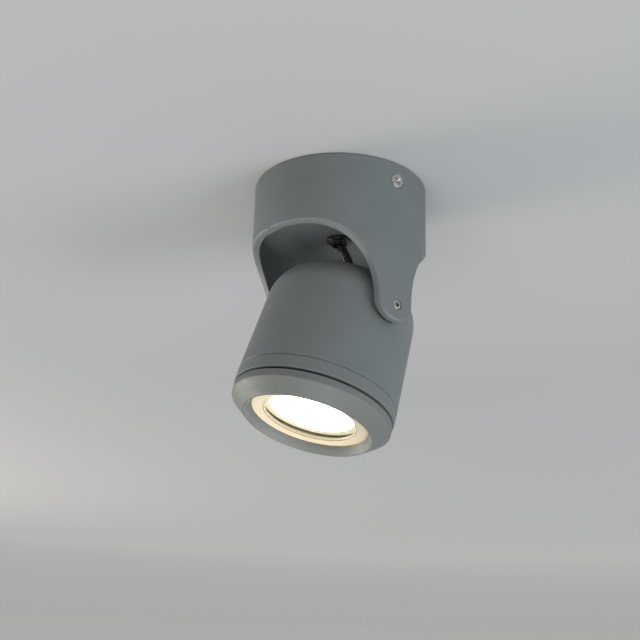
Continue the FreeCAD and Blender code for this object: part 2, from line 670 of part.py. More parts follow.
def make_terminal_block():
    base = block("block_base", "2 * block_pitch + block_pole_width", "block_depth", "block_floor",
                 y="block_place", z=PARTITION_TOP)
    poles = [block(f"block_pole_{number}", "block_pole_width", "block_depth", "block_height",
                   x=place_x, y="block_place", z=PARTITION_TOP)
             for number, place_x in enumerate(POLES)]
    body = fuse("block_body", base, *poles)
    holes = []
    for number, place_x in enumerate(POLES):
        holes.append(rod(f"block_tube_{number}", "clamp_radius", "2 * block_depth", x=place_x,
                         y="block_place - block_depth", z=CLAMP_LEVEL, along="y"))
        for side in ("-", "+"):
            holes.append(rod(f"block_well_{number}_{'ab'[side == '+']}",
                             "clamp_screw_radius + screw_clearance", "block_height", x=place_x,
                             y=f"block_place {side} clamp_screw_place", z=CLAMP_LEVEL))
    holes.append(rod("block_fixing", "block_screw_radius + screw_clearance", "block_height",
                     x="block_pitch / 2", y="block_place", z=PARTITION_TOP))
    holes.append(rod("block_fixing_well", "block_screw_head + screw_clearance", "block_height",
                     x="block_pitch / 2", y="block_place", z=f"{PARTITION_TOP} + block_floor"))
    return cut("terminal_block", body, *holes)


def make_terminal_clamps():
    tubes = []
    for number, place_x in enumerate(POLES):
        outer = rod(f"clamp_outer_{number}", "clamp_radius", "block_depth - 2", x=place_x,
                    y="block_place - block_depth / 2 + 1", z=CLAMP_LEVEL, along="y")
        bore = rod(f"clamp_hole_{number}", "clamp_bore", "block_depth", x=place_x,
                   y="block_place - block_depth / 2", z=CLAMP_LEVEL, along="y")
        wells = [rod(f"clamp_well_{number}_{name}", "clamp_screw_radius", "block_height", x=place_x,
                     y=f"block_place {side} clamp_screw_place", z=CLAMP_LEVEL)
                 for name, side in (("a", "-"), ("b", "+"))]
        tubes.append(cut(f"clamp_{number}", outer, bore, *wells))
    return group("terminal_clamps", *tubes)


def make_terminal_screws():
    screws = []
    foot = f"({CLAMP_LEVEL} + clamp_bore * 0.4)"
    head = f"({PARTITION_TOP} + block_height - 1.5)"
    for number, place_x in enumerate(POLES):
        for name, side in (("a", "-"), ("b", "+")):
            place_y = f"block_place {side} clamp_screw_place"
            shank = rod(f"clamp_screw_shank_{number}_{name}", "clamp_screw_radius",
                        f"{head} - {foot}", x=place_x, y=place_y, z=foot)
            slot = block(f"clamp_screw_slot_{number}_{name}", "0.5", "3 * clamp_screw_radius", "1",
                         x=place_x, y=place_y, z=f"{head} - 0.7")
            screws.append(cut(f"clamp_screw_{number}_{name}", shank, slot))
    return group("terminal_screws", *screws)


def make_block_screw():
    screw = pan_screw("block_screw", "block_screw_radius", "block_floor + block_screw_bite",
                      "block_screw_head")
    return place(screw, x="block_pitch / 2", y="block_place", z=f"{PARTITION_TOP} + block_floor")


def core_start(number, count, level, turn=0.0):
    """Where one core leaves the stripped end of the cable, in the frame of that end."""
    angle = math.radians(turn + 360.0 * number / count)
    circle = value("core_circle")
    return Vector(circle * math.cos(angle), circle * math.sin(angle), level)


def make_canopy_cores():
    """Three cores from the cable's end to the front of the terminal block."""
    level = -value("cable_top_drop")
    mouth_y = value("block_place - block_depth / 2 + 1")
    mouth_z = value(CLAMP_LEVEL)
    cores = []
    for number, (name, place_x) in enumerate(zip(("live", "earth", "neutral"), POLES)):
        start = core_start((1, 2, 0)[number], 3, level, 30)
        pole = value(place_x)
        route = [
            start,
            start + Vector(0, 0, 4.8),
            Vector(start.x + 0.5 * (pole - start.x), start.y + 4.0, level + 8.4),
            Vector(pole, mouth_y - 7.0, level + 6.0),
            Vector(pole, mouth_y - 4.8, mouth_z),
            Vector(pole, mouth_y, mouth_z),
        ]
        cores.append(cable(f"canopy_{name}_core", route, "core_radius"))
    return cores


def make_ring_terminal(name, screw):
    """A ring terminal that lies on Z = 0 round the origin, with its barrel along +X."""
    ring = rod(name + "_ring", "tag_radius", "tag_sheet")
    barrel = rod(name + "_barrel", "tag_barrel_radius", "tag_barrel_length", x="tag_radius - 0.4",
                 z="tag_barrel_radius", along="x")
    hole = rod(name + "_hole", f"{screw} + screw_clearance", "4 * tag_sheet", z="-tag_sheet")
    bore = rod(name + "_bore", "core_radius", "tag_barrel_length", x="tag_radius + 1",
               z="tag_barrel_radius", along="x")
    return cut(name, fuse(name + "_blank", ring, barrel), hole, bore)


def inside_wall(angle, inset, level):
    """A point inside the canopy at an angle about its axis and a distance in from its wall."""
    reach = value(CANOPY_BORE) - inset
    turn = math.radians(angle)
    return Vector(reach * math.cos(turn), reach * math.sin(turn), level)


def make_canopy_earth():
    """The earth screw, its ring terminal and the core from the terminal block."""
    tag = place(make_ring_terminal("canopy_ring_terminal", "earth_screw_radius"),
                y="-earth_place", z=TAG_HEIGHT)
    screw = place(pan_screw("canopy_earth_screw", "earth_screw_radius", "earth_boss_height"),
                  y="-earth_place", z=f"{TAG_HEIGHT} + tag_sheet")
    mouth = Vector(value("tag_radius + 1"), -value("earth_place"),
                   value(f"{TAG_HEIGHT} + tag_barrel_radius"))
    back = Vector(0, value("block_place + block_depth / 2 - 1"), value(CLAMP_LEVEL))
    route = [
        back,
        back + Vector(0, 4.4, 0),
        back + Vector(6.5, 6.4, 3.2),
        inside_wall(64.6, 7.3, back.z + 4.0),
        inside_wall(45.7, 10.3, back.z + 4.6),
        inside_wall(22.9, 12.9, back.z + 5.0),
        inside_wall(-3.1, 13.6, back.z + 4.2),
        inside_wall(-29.9, 14.0, back.z + 2.6),
        mouth + Vector(9.0, 0, 0),
        mouth,
    ]
    bridge = cable("canopy_earth_bridge", route, "core_radius")
    return tag, screw, bridge


# ---------------------------------------------------------------------------
# Cable between canopy and head
# ---------------------------------------------------------------------------
def head_point(x, y, front):
    """A point of the head's frame in the frame of the whole light, at rest."""
    tilt = Rotation(Vector(1, 0, 0), -value("rest_tilt"))
    return Vector(0, 0, -value("pivot_drop")) + tilt.multVec(Vector(x, y, -front))


def make_cable():
    under = -value("partition_drop")
    route = [
        Vector(0, 0, -value("cable_top_drop")),
        Vector(0, 0, under - 9.5),
        Vector(2.5, 5.5, under - 15.0),
        head_point(0, 0, -value("head_back") - 6.5),
        head_point(0, 0, -value(CABLE_END)),
    ]
    return cable("supply_cable", route, "cable_radius")


# ---------------------------------------------------------------------------
# Pivots
# ---------------------------------------------------------------------------
def make_pivot_screws():
    length = f"(canopy_radius - pivot_sink - {PIVOT_END})"
    thread_end = f"(canopy_radius - pivot_sink - {EAR_FACE})"
    blank = turned("pivot_screw_blank", [
        ("0", "0"),
        ("pivot_thread_radius - 0.35", "0"),
        ("pivot_thread_radius", "-0.35"),
        ("pivot_thread_radius", f"-{thread_end}"),
        ("pivot_pin_radius", f"-{thread_end}"),
        ("pivot_pin_radius", f"0.4 - {length}"),
        ("pivot_pin_radius - 0.4", f"-{length}"),
        ("0", f"-{length}"),
    ])
    key = doc.addObject("Part::Prism", "pivot_key")
    key.Polygon = 6
    bind(key, Circumradius="pivot_key_radius", Height="pivot_key_depth + 1")
    place(key, z="-pivot_key_depth")
    screw = cut("pivot_screw", blank, key)
    place(screw, x="canopy_radius - pivot_sink", z="-pivot_drop", axis=(0, 1, 0), angle="90")
    return group("pivot_screws", screw, mirrored("pivot_screw_mirrored", screw))


def make_pivot_bushes():
    bush_end = f"{HEAD_BORE} + 0.2 - {PIVOT_FLAT}"
    body = turned("pivot_bush_body", [
        ("pivot_pin_radius + pivot_running_fit", "pivot_bush_rim"),
        ("pivot_bush_flange", "pivot_bush_rim"),
        ("pivot_bush_flange", "0"),
        ("pivot_bush_radius", "0"),
        ("pivot_bush_radius", bush_end),
        ("pivot_pin_radius + pivot_running_fit", bush_end),
    ])
    place(body, x=PIVOT_FLAT, axis=(0, 1, 0), angle="90")
    return group("pivot_bush_pair", body, mirrored("pivot_bush_mirrored", body))


def make_friction_washers():
    outer = rod("washer_disc", "washer_radius", "washer_thickness", x=f"{EAR_FACE} - washer_thickness",
                z="-pivot_drop", along="x")
    hole = rod("washer_hole", "pivot_pin_radius + screw_clearance", "canopy_radius", x="1",
               z="-pivot_drop", along="x")
    washer = cut("friction_washer", outer, hole)
    return group("friction_washers", washer, mirrored("friction_washer_mirrored", washer))


# ---------------------------------------------------------------------------
# Head body, front ring and glass
# ---------------------------------------------------------------------------
def make_head_body():
    counterbore = f"({RING_SKIRT} + thread_gap)"
    counterbore_end = f"({RING_BACK} - ring_skirt_length - 1)"
    body = head_turned("head_shell", [
        ("bush_hole_radius", "-head_back"),
        (REAR_RADIUS, "-head_back"),
        (HEAD_RADIUS, f"{GROOVE} - groove_width / 2"),
        (f"{HEAD_RADIUS} - groove_depth", GROOVE),
        (HEAD_RADIUS, f"{GROOVE} + groove_width / 2"),
        (HEAD_RADIUS, "head_front"),
        (counterbore, "head_front"),
        (counterbore, counterbore_end),
        (HEAD_BORE, counterbore_end),
        (HEAD_BORE, f"-{HEAD_REAR_INSIDE}"),
        ("bush_hole_radius", f"-{HEAD_REAR_INSIDE}"),
    ])
    body_fillet(body, "head_shoulder_outside", ring_edge_test(REAR_RADIUS, "head_back"),
                "head_shoulder")
    body_fillet(body, "head_shoulder_inside", ring_edge_test(HEAD_BORE, HEAD_REAR_INSIDE),
                "head_shoulder - head_rear_wall")
    solid = head_turned("head_outside", [
        ("0", "-head_back"),
        (REAR_RADIUS, "-head_back"),
        (f"{HEAD_RADIUS} - head_taper", "0"),
        ("0", "0"),
    ])
    body_fillet(solid, "head_outside_shoulder", ring_edge_test(REAR_RADIUS, "head_back"),
                "head_shoulder")
    post = rod("bracket_post", "bracket_boss_radius",
               f"{BRACKET_BACK} + {HEAD_REAR_INSIDE} + bracket_boss_root", y="bracket_boss_place",
               z=f"-{BRACKET_BACK}")
    boss = common("bracket_boss", post, solid)
    bosses = fuse("head_bossed", body, boss, mirrored("bracket_boss_mirrored", boss, (0, 1, 0)))
    flat = rod("pivot_flat", "pivot_flat_radius", "head_wall", x=PIVOT_FLAT, along="x")
    bush_holes = rod("pivot_bush_holes", "pivot_bush_radius", "2 * canopy_radius", x="-canopy_radius",
                     along="x")
    screw_hole = rod("bracket_hole", "bracket_screw_radius", "bracket_screw_length",
                     y="bracket_boss_place", z=f"-{BRACKET_BACK}")
    return cut("head_casting", bosses, flat, mirrored("pivot_flat_mirrored", flat), bush_holes,
               screw_hole, mirrored("bracket_hole_mirrored", screw_hole, (0, 1, 0)))


def make_head_bush():
    bore = "(cable_radius + cable_slack_fit)"
    return head_turned("head_bush_body", [
        (bore, f"-{HEAD_REAR_INSIDE} + bush_lip_height"),
        ("bush_hole_radius", f"-{HEAD_REAR_INSIDE} + bush_lip_height"),
        ("bush_lip_radius", f"-{HEAD_REAR_INSIDE}"),
        ("bush_hole_radius", f"-{HEAD_REAR_INSIDE}"),
        ("bush_hole_radius", "-head_back"),
        ("head_bush_radius", "-head_back"),
        ("head_bush_radius - 0.7", "-head_back - head_bush_height"),
        (bore, "-head_back - head_bush_height"),
    ])


def make_front_ring():
    body = head_turned("front_ring_body", [
        (RING_BORE, f"{RING_BACK} - ring_skirt_length"),
        (RING_SKIRT, f"{RING_BACK} - ring_skirt_length"),
        (RING_SKIRT, RING_BACK),
        (RING_RADIUS, RING_BACK),
        (RING_RADIUS, f"{RING_BACK} + ring_band"),
        (RING_MOUTH, RING_FRONT),
        (RING_THROAT, THROAT_FRONT),
        (RING_THROAT, GASKET_FRONT),
        (RING_BORE, GASKET_FRONT),
    ])
    body_fillet(body, "ring_rear_round", ring_edge_test(RING_RADIUS, f"-{RING_BACK}"),
                "0.6 * ring_edge")
    body_fillet(body, "ring_band_round", ring_edge_test(RING_RADIUS, f"-{RING_BACK} - ring_band"),
                "ring_edge")
    body_fillet(body, "ring_mouth_round", ring_edge_test(RING_MOUTH, f"-{RING_FRONT}"), "ring_edge")
    return body


def make_ring_seal():
    inner = f"({RING_SKIRT} + seal_gap)"
    outer = f"({inner} + seal_width)"
    edge = "(0.25 * ring_gap)"
    return head_turned("ring_seal_body", [
        (inner, "head_front"),
        (f"{outer} - {edge}", "head_front"),
        (outer, f"head_front + {edge}"),
        (outer, f"{RING_BACK} - {edge}"),
        (f"{outer} - {edge}", RING_BACK),
        (inner, RING_BACK),
    ])


def flat_ring(name, bore, radius, front, back):
    """A flat ring of the head between two distances in front of the pivot."""
    return head_turned(name, [(bore, back), (radius, back), (radius, front), (bore, front)])


# ---------------------------------------------------------------------------
# Lamp and lampholder
# ---------------------------------------------------------------------------
def make_lamp_shell():
    rim_back = f"({LAMP_FACE} - lamp_rim_height)"
    neck_front = f"({LAMP_NECK} + 3)"
    wall = "lamp_shell_wall"
    return head_turned("lamp_shell_body", [
        ("lens_radius", LAMP_FACE),
        ("lamp_rim_radius - 0.6", LAMP_FACE),
        ("lamp_rim_radius", f"{LAMP_FACE} - 0.6"),
        ("lamp_rim_radius", rim_back),
        ("lamp_rim_radius - 0.9", f"{rim_back} - 0.6"),
        ("lamp_neck_radius", neck_front),
        ("lamp_neck_radius", LAMP_NECK),
        (f"lamp_neck_radius - {wall}", LAMP_NECK),
        (f"lamp_neck_radius - {wall}", neck_front),
        ("led_board_radius", LED_BACK),
        ("led_board_radius", f"{LAMP_FACE} - lens_thickness"),
        ("lens_radius", f"{LAMP_FACE} - lens_thickness"),
    ])


def make_lamp_base():
    top = LAMP_NECK
    return head_turned("lamp_base_body", [
        ("0", LAMP_BASE),
        ("lamp_base_radius - 1.2", LAMP_BASE),
        ("lamp_base_radius", f"{LAMP_BASE} + 1.2"),
        ("lamp_base_radius", f"{top} - 1"),
        ("lamp_neck_radius", f"{top} - 1"),
        ("lamp_neck_radius", top),
        ("lamp_neck_radius - lamp_shell_wall", top),
        ("lamp_neck_radius - lamp_shell_wall", f"{top} + 1.5"),
        ("lamp_neck_radius - 2 * lamp_shell_wall", f"{top} + 1.5"),
        ("lamp_neck_radius - 2 * lamp_shell_wall", f"{top} - 1"),
        ("lamp_base_radius - 3", f"{top} - 1"),
        ("lamp_base_radius - 3", f"{LAMP_BASE} + 2.5"),
        ("0", f"{LAMP_BASE} + 2.5"),
    ])


def make_lamp_pins():
    """Two headed pins that point back from the lamp base."""
    heel = LAMP_BASE
    neck = f"({heel} - pin_shank_length)"
    end = f"({neck} - pin_head_length)"
    body = head_turned("lamp_pin_body", [
        ("0", heel),
        ("pin_shank_radius", heel),
        ("pin_shank_radius", neck),
        ("pin_head_radius", neck),
        ("pin_head_radius", f"{end} + 0.5"),
        ("pin_head_radius - 0.5", end),
        ("0", end),
    ])
    place(body, x="pin_spacing / 2")
    return group("lamp_pin_pair", body, mirrored("lamp_pin_mirrored", body))


def make_led_chips():
    chips = []
    for number in range(int(value("led_count"))):
        angle = f"(led_first_angle + 360 * {number} / led_count)"
        chip = block(f"led_chip_{number}", "led_side", "led_side", "led_height",
                     x=f"led_circle * cos({angle} * 1deg)", y=f"led_circle * sin({angle} * 1deg)",
                     z=f"-{LED_FRONT} - led_height")
        chips.append(chip)
    return group("led_chips", *chips)


def make_driver_board():
    floor = f"({LAMP_BASE} + 2.5)"
    return block("driver_board", "driver_width", "driver_sheet", "driver_length",
                 z=f"-{floor} - driver_length")


def holder_holes(name, radius, front, depth):
    """Two pin holes that sink back from one place in the head."""
    hole = rod(name, radius, depth, x="pin_spacing / 2", z=f"-({front})")
    return hole, mirrored(name + "_mirrored", hole)


def make_holder_body():
    body = head_turned("holder_blank", [
        ("0", HOLDER_BACK),
        ("holder_radius", HOLDER_BACK),
        ("holder_radius", f"{LAMP_BASE} - 1"),
        ("holder_radius - 1", LAMP_BASE),
        ("0", LAMP_BASE),
    ])
    sockets = holder_holes("holder_socket", "holder_hole_radius", LAMP_BASE,
                           "holder_hole_depth")
    screw = rod("holder_thread", "holder_screw_radius", "holder_screw_length - holder_cover_length",
                y="holder_screw_place", z=f"-({HOLDER_BACK} + holder_screw_length)"
                " + holder_cover_length")
    flat = block("holder_flat", "holder_radius * 3", "holder_radius", "2 * holder_length",
                 y="1.4 * holder_radius", z=f"-{LAMP_BASE} - 1")
    return cut("holder_body", body, *sockets, screw, mirrored("holder_thread_mirrored", screw, (0, 1, 0)),
               flat, mirrored("holder_flat_mirrored", flat, (0, 1, 0)))


def make_holder_cover():
    body = head_turned("cover_blank", [
        ("0", COVER_BACK),
        ("holder_radius - 1", COVER_BACK),
        ("holder_radius", f"{COVER_BACK} + 1"),
        ("holder_radius", HOLDER_BACK),
        ("0", HOLDER_BACK),
    ])
    wires = holder_holes("cover_wire_hole", "core_radius + screw_clearance", HOLDER_BACK,
                         "2 * holder_cover_length")
    screw = rod("cover_screw_hole", "holder_screw_radius + screw_clearance", "2 * holder_cover_length",
                y="holder_screw_place", z=f"-{HOLDER_BACK}")
    flat = block("cover_flat", "holder_radius * 3", "holder_radius", "4 * holder_cover_length",
                 y="1.4 * holder_radius", z=f"-{HOLDER_BACK} - 1")
    return cut("holder_cover", body, *wires, screw,
               mirrored("cover_screw_hole_mirrored", screw, (0, 1, 0)),
               flat, mirrored("cover_flat_mirrored", flat, (0, 1, 0)))


def make_contacts():
    """A sprung strip on the floor of each pin hole, with a tongue that bears on the pin."""
    strip = block("contact_strip", "contact_width", "contact_width", "contact_sheet",
                  x="pin_spacing / 2", z=f"-{SOCKET_FLOOR} - contact_sheet")
    tongue = block("contact_tongue", "contact_width / 2", "contact_width",
                   f"{PIN_END} - {SOCKET_FLOOR}", x="pin_spacing / 2", z=f"-{PIN_END}")
    contact = fuse("holder_contact", strip, tongue)
    return group("holder_contacts", contact, mirrored("holder_contact_mirrored", contact))


def make_bracket():
    reach = "(2 * bracket_boss_place + 2 * bracket_boss_radius + 2)"
    rear = f"-{COVER_BACK} - bracket_sheet"
    strip = block("bracket_strip", "bracket_width", reach, "bracket_sheet", z=f"-{COVER_BACK}")
    centre = rod("bracket_centre", "bracket_hole", "3 * bracket_sheet", z=rear)
    end_hole = rod("bracket_end_hole", "bracket_screw_radius + screw_clearance",
                   "3 * bracket_sheet", y="bracket_boss_place", z=rear)
    screw_hole = rod("bracket_screw_hole", "holder_screw_radius + screw_clearance",
                     "3 * bracket_sheet", y="holder_screw_place", z=rear)
    earth_hole = rod("bracket_earth_hole", "bracket_screw_radius", "3 * bracket_sheet",
                     y="bracket_earth_place", z=rear)
    return cut("bracket_plate", strip, centre, end_hole,
               mirrored("bracket_end_hole_mirrored", end_hole, (0, 1, 0)), screw_hole,
               mirrored("bracket_screw_hole_mirrored", screw_hole, (0, 1, 0)), earth_hole)


def make_holder_screws():
    """Screws from behind the bracket into the ceramic body."""
    screw = pan_screw("holder_screw", "holder_screw_radius", "holder_screw_length")
    place(screw, y="holder_screw_place", z=f"-{BRACKET_BACK}")
    return group("holder_screw_pair", screw, mirrored("holder_screw_mirrored", screw, (0, 1, 0)))


def make_bracket_screws():
    """Screws from the lamp's side into the bosses of the head body."""
    screw = pan_screw("bracket_screw", "bracket_screw_radius", "bracket_screw_length")
    place(screw, y="bracket_boss_place", z=f"-{COVER_BACK}", axis=(1, 0, 0), angle="180")
    return group("bracket_screw_pair", screw, mirrored("bracket_screw_mirrored", screw, (0, 1, 0)))


def make_head_earth():
    """The earth screw on the rear of the bracket, with its ring terminal."""
    tag = place(make_ring_terminal("bracket_tag", "bracket_screw_radius"),
                y="bracket_earth_place", z=f"-{BRACKET_BACK}")
    screw = place(pan_screw("bracket_earth_screw", "bracket_screw_radius", "bracket_sheet + 3"),
                  y="bracket_earth_place", z=f"-{BRACKET_BACK} + tag_sheet")
    return tag, screw


def make_head_cores():
    """Live and neutral to the lampholder, earth to the bracket, in the head's frame."""
    level = value(CABLE_END)
    pin = value("pin_spacing / 2")
    end = value(f"-{HOLDER_BACK} + 0.5")
    cores = {}
    for name, side in (("live", 1), ("neutral", -1)):
        start = Vector(side * value("core_circle"), 0, level)
        turn_in = Vector(side * pin, 0, level - 6.6)
        route = [start, start + Vector(0, 0, -2.6), turn_in, Vector(side * pin, 0, end)]
        cores[f"head_{name}_core"] = cable(f"head_{name}_wire", route, "core_radius")
    mouth = Vector(value("tag_radius + 1"), value("bracket_earth_place"),
                   value(f"-{BRACKET_BACK} + tag_barrel_radius"))
    start = Vector(0, value("core_circle"), level)
    route = [
        start,
        start + Vector(0, 0, -2.8),
        start + Vector(3.6, 1.7, -4.6),
        start + Vector(9.5, 4.2, -5.1),
        mouth + Vector(10.8, -6.8, 0.1),
        mouth + Vector(10.2, 0, 0),
        mouth,
    ]
    cores["head_earth_core"] = cable("head_earth_wire", route, "core_radius")
    return cores


# ---------------------------------------------------------------------------
# Pieces with their names
# ---------------------------------------------------------------------------
node("ceiling_strap", make_ceiling_strap())
node("supply_grommet", make_supply_grommet())
node("canopy", make_canopy())
node("canopy_side_screws", make_side_screws())
node("canopy_cable_bush", make_canopy_bush())
node("terminal_block", make_terminal_block())
node("terminal_clamps", make_terminal_clamps())
node("terminal_screws", make_terminal_screws())
node("terminal_block_screw", make_block_screw())
earth_tag, earth_screw, earth_bridge = make_canopy_earth()
node("canopy_ring_terminal", earth_tag)
node("canopy_earth_screw", earth_screw)
node("canopy_earth_bridge", earth_bridge)
for core in make_canopy_cores():
    node(core.Name, core)
node("supply_cable", make_cable())
node("pivot_screws", make_pivot_screws())
node("friction_washers", make_friction_washers())

head_tag, head_screw = make_head_earth()
HEAD_PIECES = {
    "head_body": make_head_body(),
    "pivot_bushes": make_pivot_bushes(),
    "head_cable_bush": make_head_bush(),
    "ring_seal": make_ring_seal(),
    "front_ring": make_front_ring(),
    "glass_clamp_ring": flat_ring("clamp_ring_body", f"{RING_BORE} - clamp_ring_width", RING_BORE,
                                  CLAMP_FRONT, f"{CLAMP_FRONT} - clamp_ring_height"),
    "front_glass": flat_ring("glass_body", "0", GLASS_RADIUS, GLASS_FRONT, GLASS_BACK),
    "glass_gasket": flat_ring("gasket_body", "gasket_hole", GLASS_RADIUS, GASKET_FRONT,
                              GLASS_FRONT),
    "lamp_shell": make_lamp_shell(),
    "lamp_base": make_lamp_base(),
    "lamp_pins": make_lamp_pins(),
    "lamp_lens": flat_ring("lens_body", "0", "lens_radius", LAMP_FACE,
                           f"{LAMP_FACE} - lens_thickness"),
    "lamp_led_board": flat_ring("led_board_body", "0", "led_board_radius", LED_FRONT,
                                LED_BACK),
    "lamp_led_chips": make_led_chips(),
    "lamp_driver_board": make_driver_board(),
    "lampholder_body": make_holder_body(),
    "lampholder_cover": make_holder_cover(),
    "lampholder_contacts": make_contacts(),
    "lampholder_bracket": make_bracket(),
    "lampholder_screws": make_holder_screws(),
    "bracket_screws": make_bracket_screws(),
    "head_ring_terminal": head_tag,
    "head_earth_screw": head_screw,
}
HEAD_PIECES.update(make_head_cores())
for name, piece in HEAD_PIECES.items():
    node(name, in_head(name, piece))

# ---------------------------------------------------------------------------
# Checks, then one file per piece
# ---------------------------------------------------------------------------
doc.recompute()
for thing in doc.Objects:
    bad = {"Invalid", "Error"} & set(thing.State)
    if bad:
        raise SystemExit(f"{thing.Name} failed: {bad}")
    if thing.TypeId == "Part::Cut" and thing.Shape.Volume > thing.Base.Shape.Volume - 1e-6:
        raise SystemExit(f"{thing.Name} cuts nothing")
for thing in NODES:
    shape = thing.Shape
    if shape.isNull() or not shape.isValid() or not shape.Solids:
        raise SystemExit(f"{thing.Label} has no valid solid")

os.makedirs("parts", exist_ok=True)
for thing in NODES:
    thing.Shape.exportStep(f"parts/{thing.Label}.step")
    print(f"{thing.Label}: {len(thing.Shape.Solids)} solid(s), {thing.Shape.Volume / 1000:.3f} cm3")
print(f"{len(NODES)} pieces written")
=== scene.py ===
# %% [markdown]
# # A surface mounted ceiling spotlight
# A round canopy sits on the ceiling. Two ears hang down from it and hold a lamp head that tilts.
# The solids of every piece come in as a fixed frame. This lesson dresses them: the pieces that
# show most are modelled again with smooth surfaces, and every piece gets a finish of its own.

# %% Load the solids
import json
import math

import bmesh
import bpy
from mathutils import Matrix, Vector


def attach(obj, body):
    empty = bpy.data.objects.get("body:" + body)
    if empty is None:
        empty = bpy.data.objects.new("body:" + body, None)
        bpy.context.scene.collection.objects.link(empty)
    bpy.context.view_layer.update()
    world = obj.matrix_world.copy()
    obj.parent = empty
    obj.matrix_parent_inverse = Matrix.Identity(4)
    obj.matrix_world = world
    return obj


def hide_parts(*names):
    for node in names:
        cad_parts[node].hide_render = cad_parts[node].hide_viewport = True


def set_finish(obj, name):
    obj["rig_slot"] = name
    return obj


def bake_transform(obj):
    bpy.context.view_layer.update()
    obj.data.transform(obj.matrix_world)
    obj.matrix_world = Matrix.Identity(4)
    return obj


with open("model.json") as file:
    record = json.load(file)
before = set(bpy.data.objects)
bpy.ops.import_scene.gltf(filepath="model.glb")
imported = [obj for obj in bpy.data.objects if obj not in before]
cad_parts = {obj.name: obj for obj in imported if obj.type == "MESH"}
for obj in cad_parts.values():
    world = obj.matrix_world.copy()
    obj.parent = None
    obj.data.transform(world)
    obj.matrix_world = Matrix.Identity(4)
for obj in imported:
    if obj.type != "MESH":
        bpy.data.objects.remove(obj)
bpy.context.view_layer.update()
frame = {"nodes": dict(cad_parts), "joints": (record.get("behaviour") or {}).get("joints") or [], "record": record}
MM = 0.001
print("solids loaded:", len(frame["nodes"]))

# %% [markdown]
# ## Where the head sits
# The head is easiest to draw upright, with the tilt axis at the origin and the lamp shining
# down. One matrix then lowers it to the pivot and tilts it as the joints say, so the drawn
# pieces land exactly where the solids are.

# %% The head's own place
joints = {joint["name"]: joint for joint in frame["joints"]}
pivot = Vector(joints["head_tilt"]["pos_m"])
lamp_axis = Vector(joints["ring_advance"]["axis"])
tilt = math.atan2(-lamp_axis.y, -lamp_axis.z)
HEAD = Matrix.Translation(pivot) @ Matrix.Rotation(-tilt, 4, "X")
UPRIGHT = Matrix.Identity(4)
print("tilt at rest:", round(math.degrees(tilt), 1), "degrees")

# %% [markdown]
# ## The camera
# The photograph was taken from below, close to the light. The camera looks up at the pivot with
# a slightly long lens and leans a little to one side.

# %% Set the camera
CAMERA_PLACE = Vector((0.33971, -0.27244, -0.21934))
CAMERA_AIM = Vector((0.00218, -0.01272, -0.07402))
CAMERA_LEAN = math.radians(1.77)
LENS = 51.0

bpy.ops.object.select_all(action="DESELECT")
bpy.ops.object.camera_add(location=CAMERA_PLACE)
camera = bpy.context.object
looking = (CAMERA_AIM - CAMERA_PLACE).to_track_quat("-Z", "Y").to_matrix()
camera.matrix_world = (Matrix.Translation(CAMERA_PLACE) @ looking.to_4x4()
                       @ Matrix.Rotation(CAMERA_LEAN, 4, "Z"))
camera.data.lens = LENS
camera.data.clip_start = 0.01
bpy.context.scene.camera = camera
bpy.context.scene.view_settings.view_transform = "Standard"

# %% [markdown]
# ## Modelling helpers
# Most pieces are turned on a lathe in real life. Here a circle is added, and its ring of edges
# is extruded from corner to corner of the outline, each time moved along the axis and scaled to
# the next radius. That is how one would draw a turned piece by hand.

# %% Turn a piece on the lathe
def apply_place(piece, place):
    """Put a piece where a matrix says, and keep that place in its mesh."""
    piece.matrix_world = place @ piece.matrix_world
    bpy.ops.object.select_all(action="DESELECT")
    piece.select_set(True)
    bpy.context.view_layer.objects.active = piece
    bpy.ops.object.transform_apply(location=True, rotation=True, scale=True)
    return piece


def round_corners(corners, step=math.radians(12)):
    """Turn corners (radius, height, rounding) in mm into points, with arcs at the rounded ones."""
    points = []
    for number, (radius, height, rounding) in enumerate(corners):
        here = Vector((radius, height))
        if not rounding:
            points.append(here)
            continue
        back = (Vector(corners[number - 1][:2]) - here).normalized()
        ahead = (Vector(corners[(number + 1) % len(corners)][:2]) - here).normalized()
        turn = math.pi - back.angle(ahead)
        reach = rounding * math.tan(turn / 2)
        middle = here + (back + ahead).normalized() * (rounding / math.cos(turn / 2))
        first = here + back * reach - middle
        sign = 1 if first.cross(here + ahead * reach - middle) > 0 else -1
        count = max(2, round(turn / step))
        for part in range(count + 1):
            spoke = first.copy()
            spoke.rotate(Matrix.Rotation(sign * turn * part / count, 2))
            points.append(middle + spoke)
    return [(point.x, point.y) for point in points]


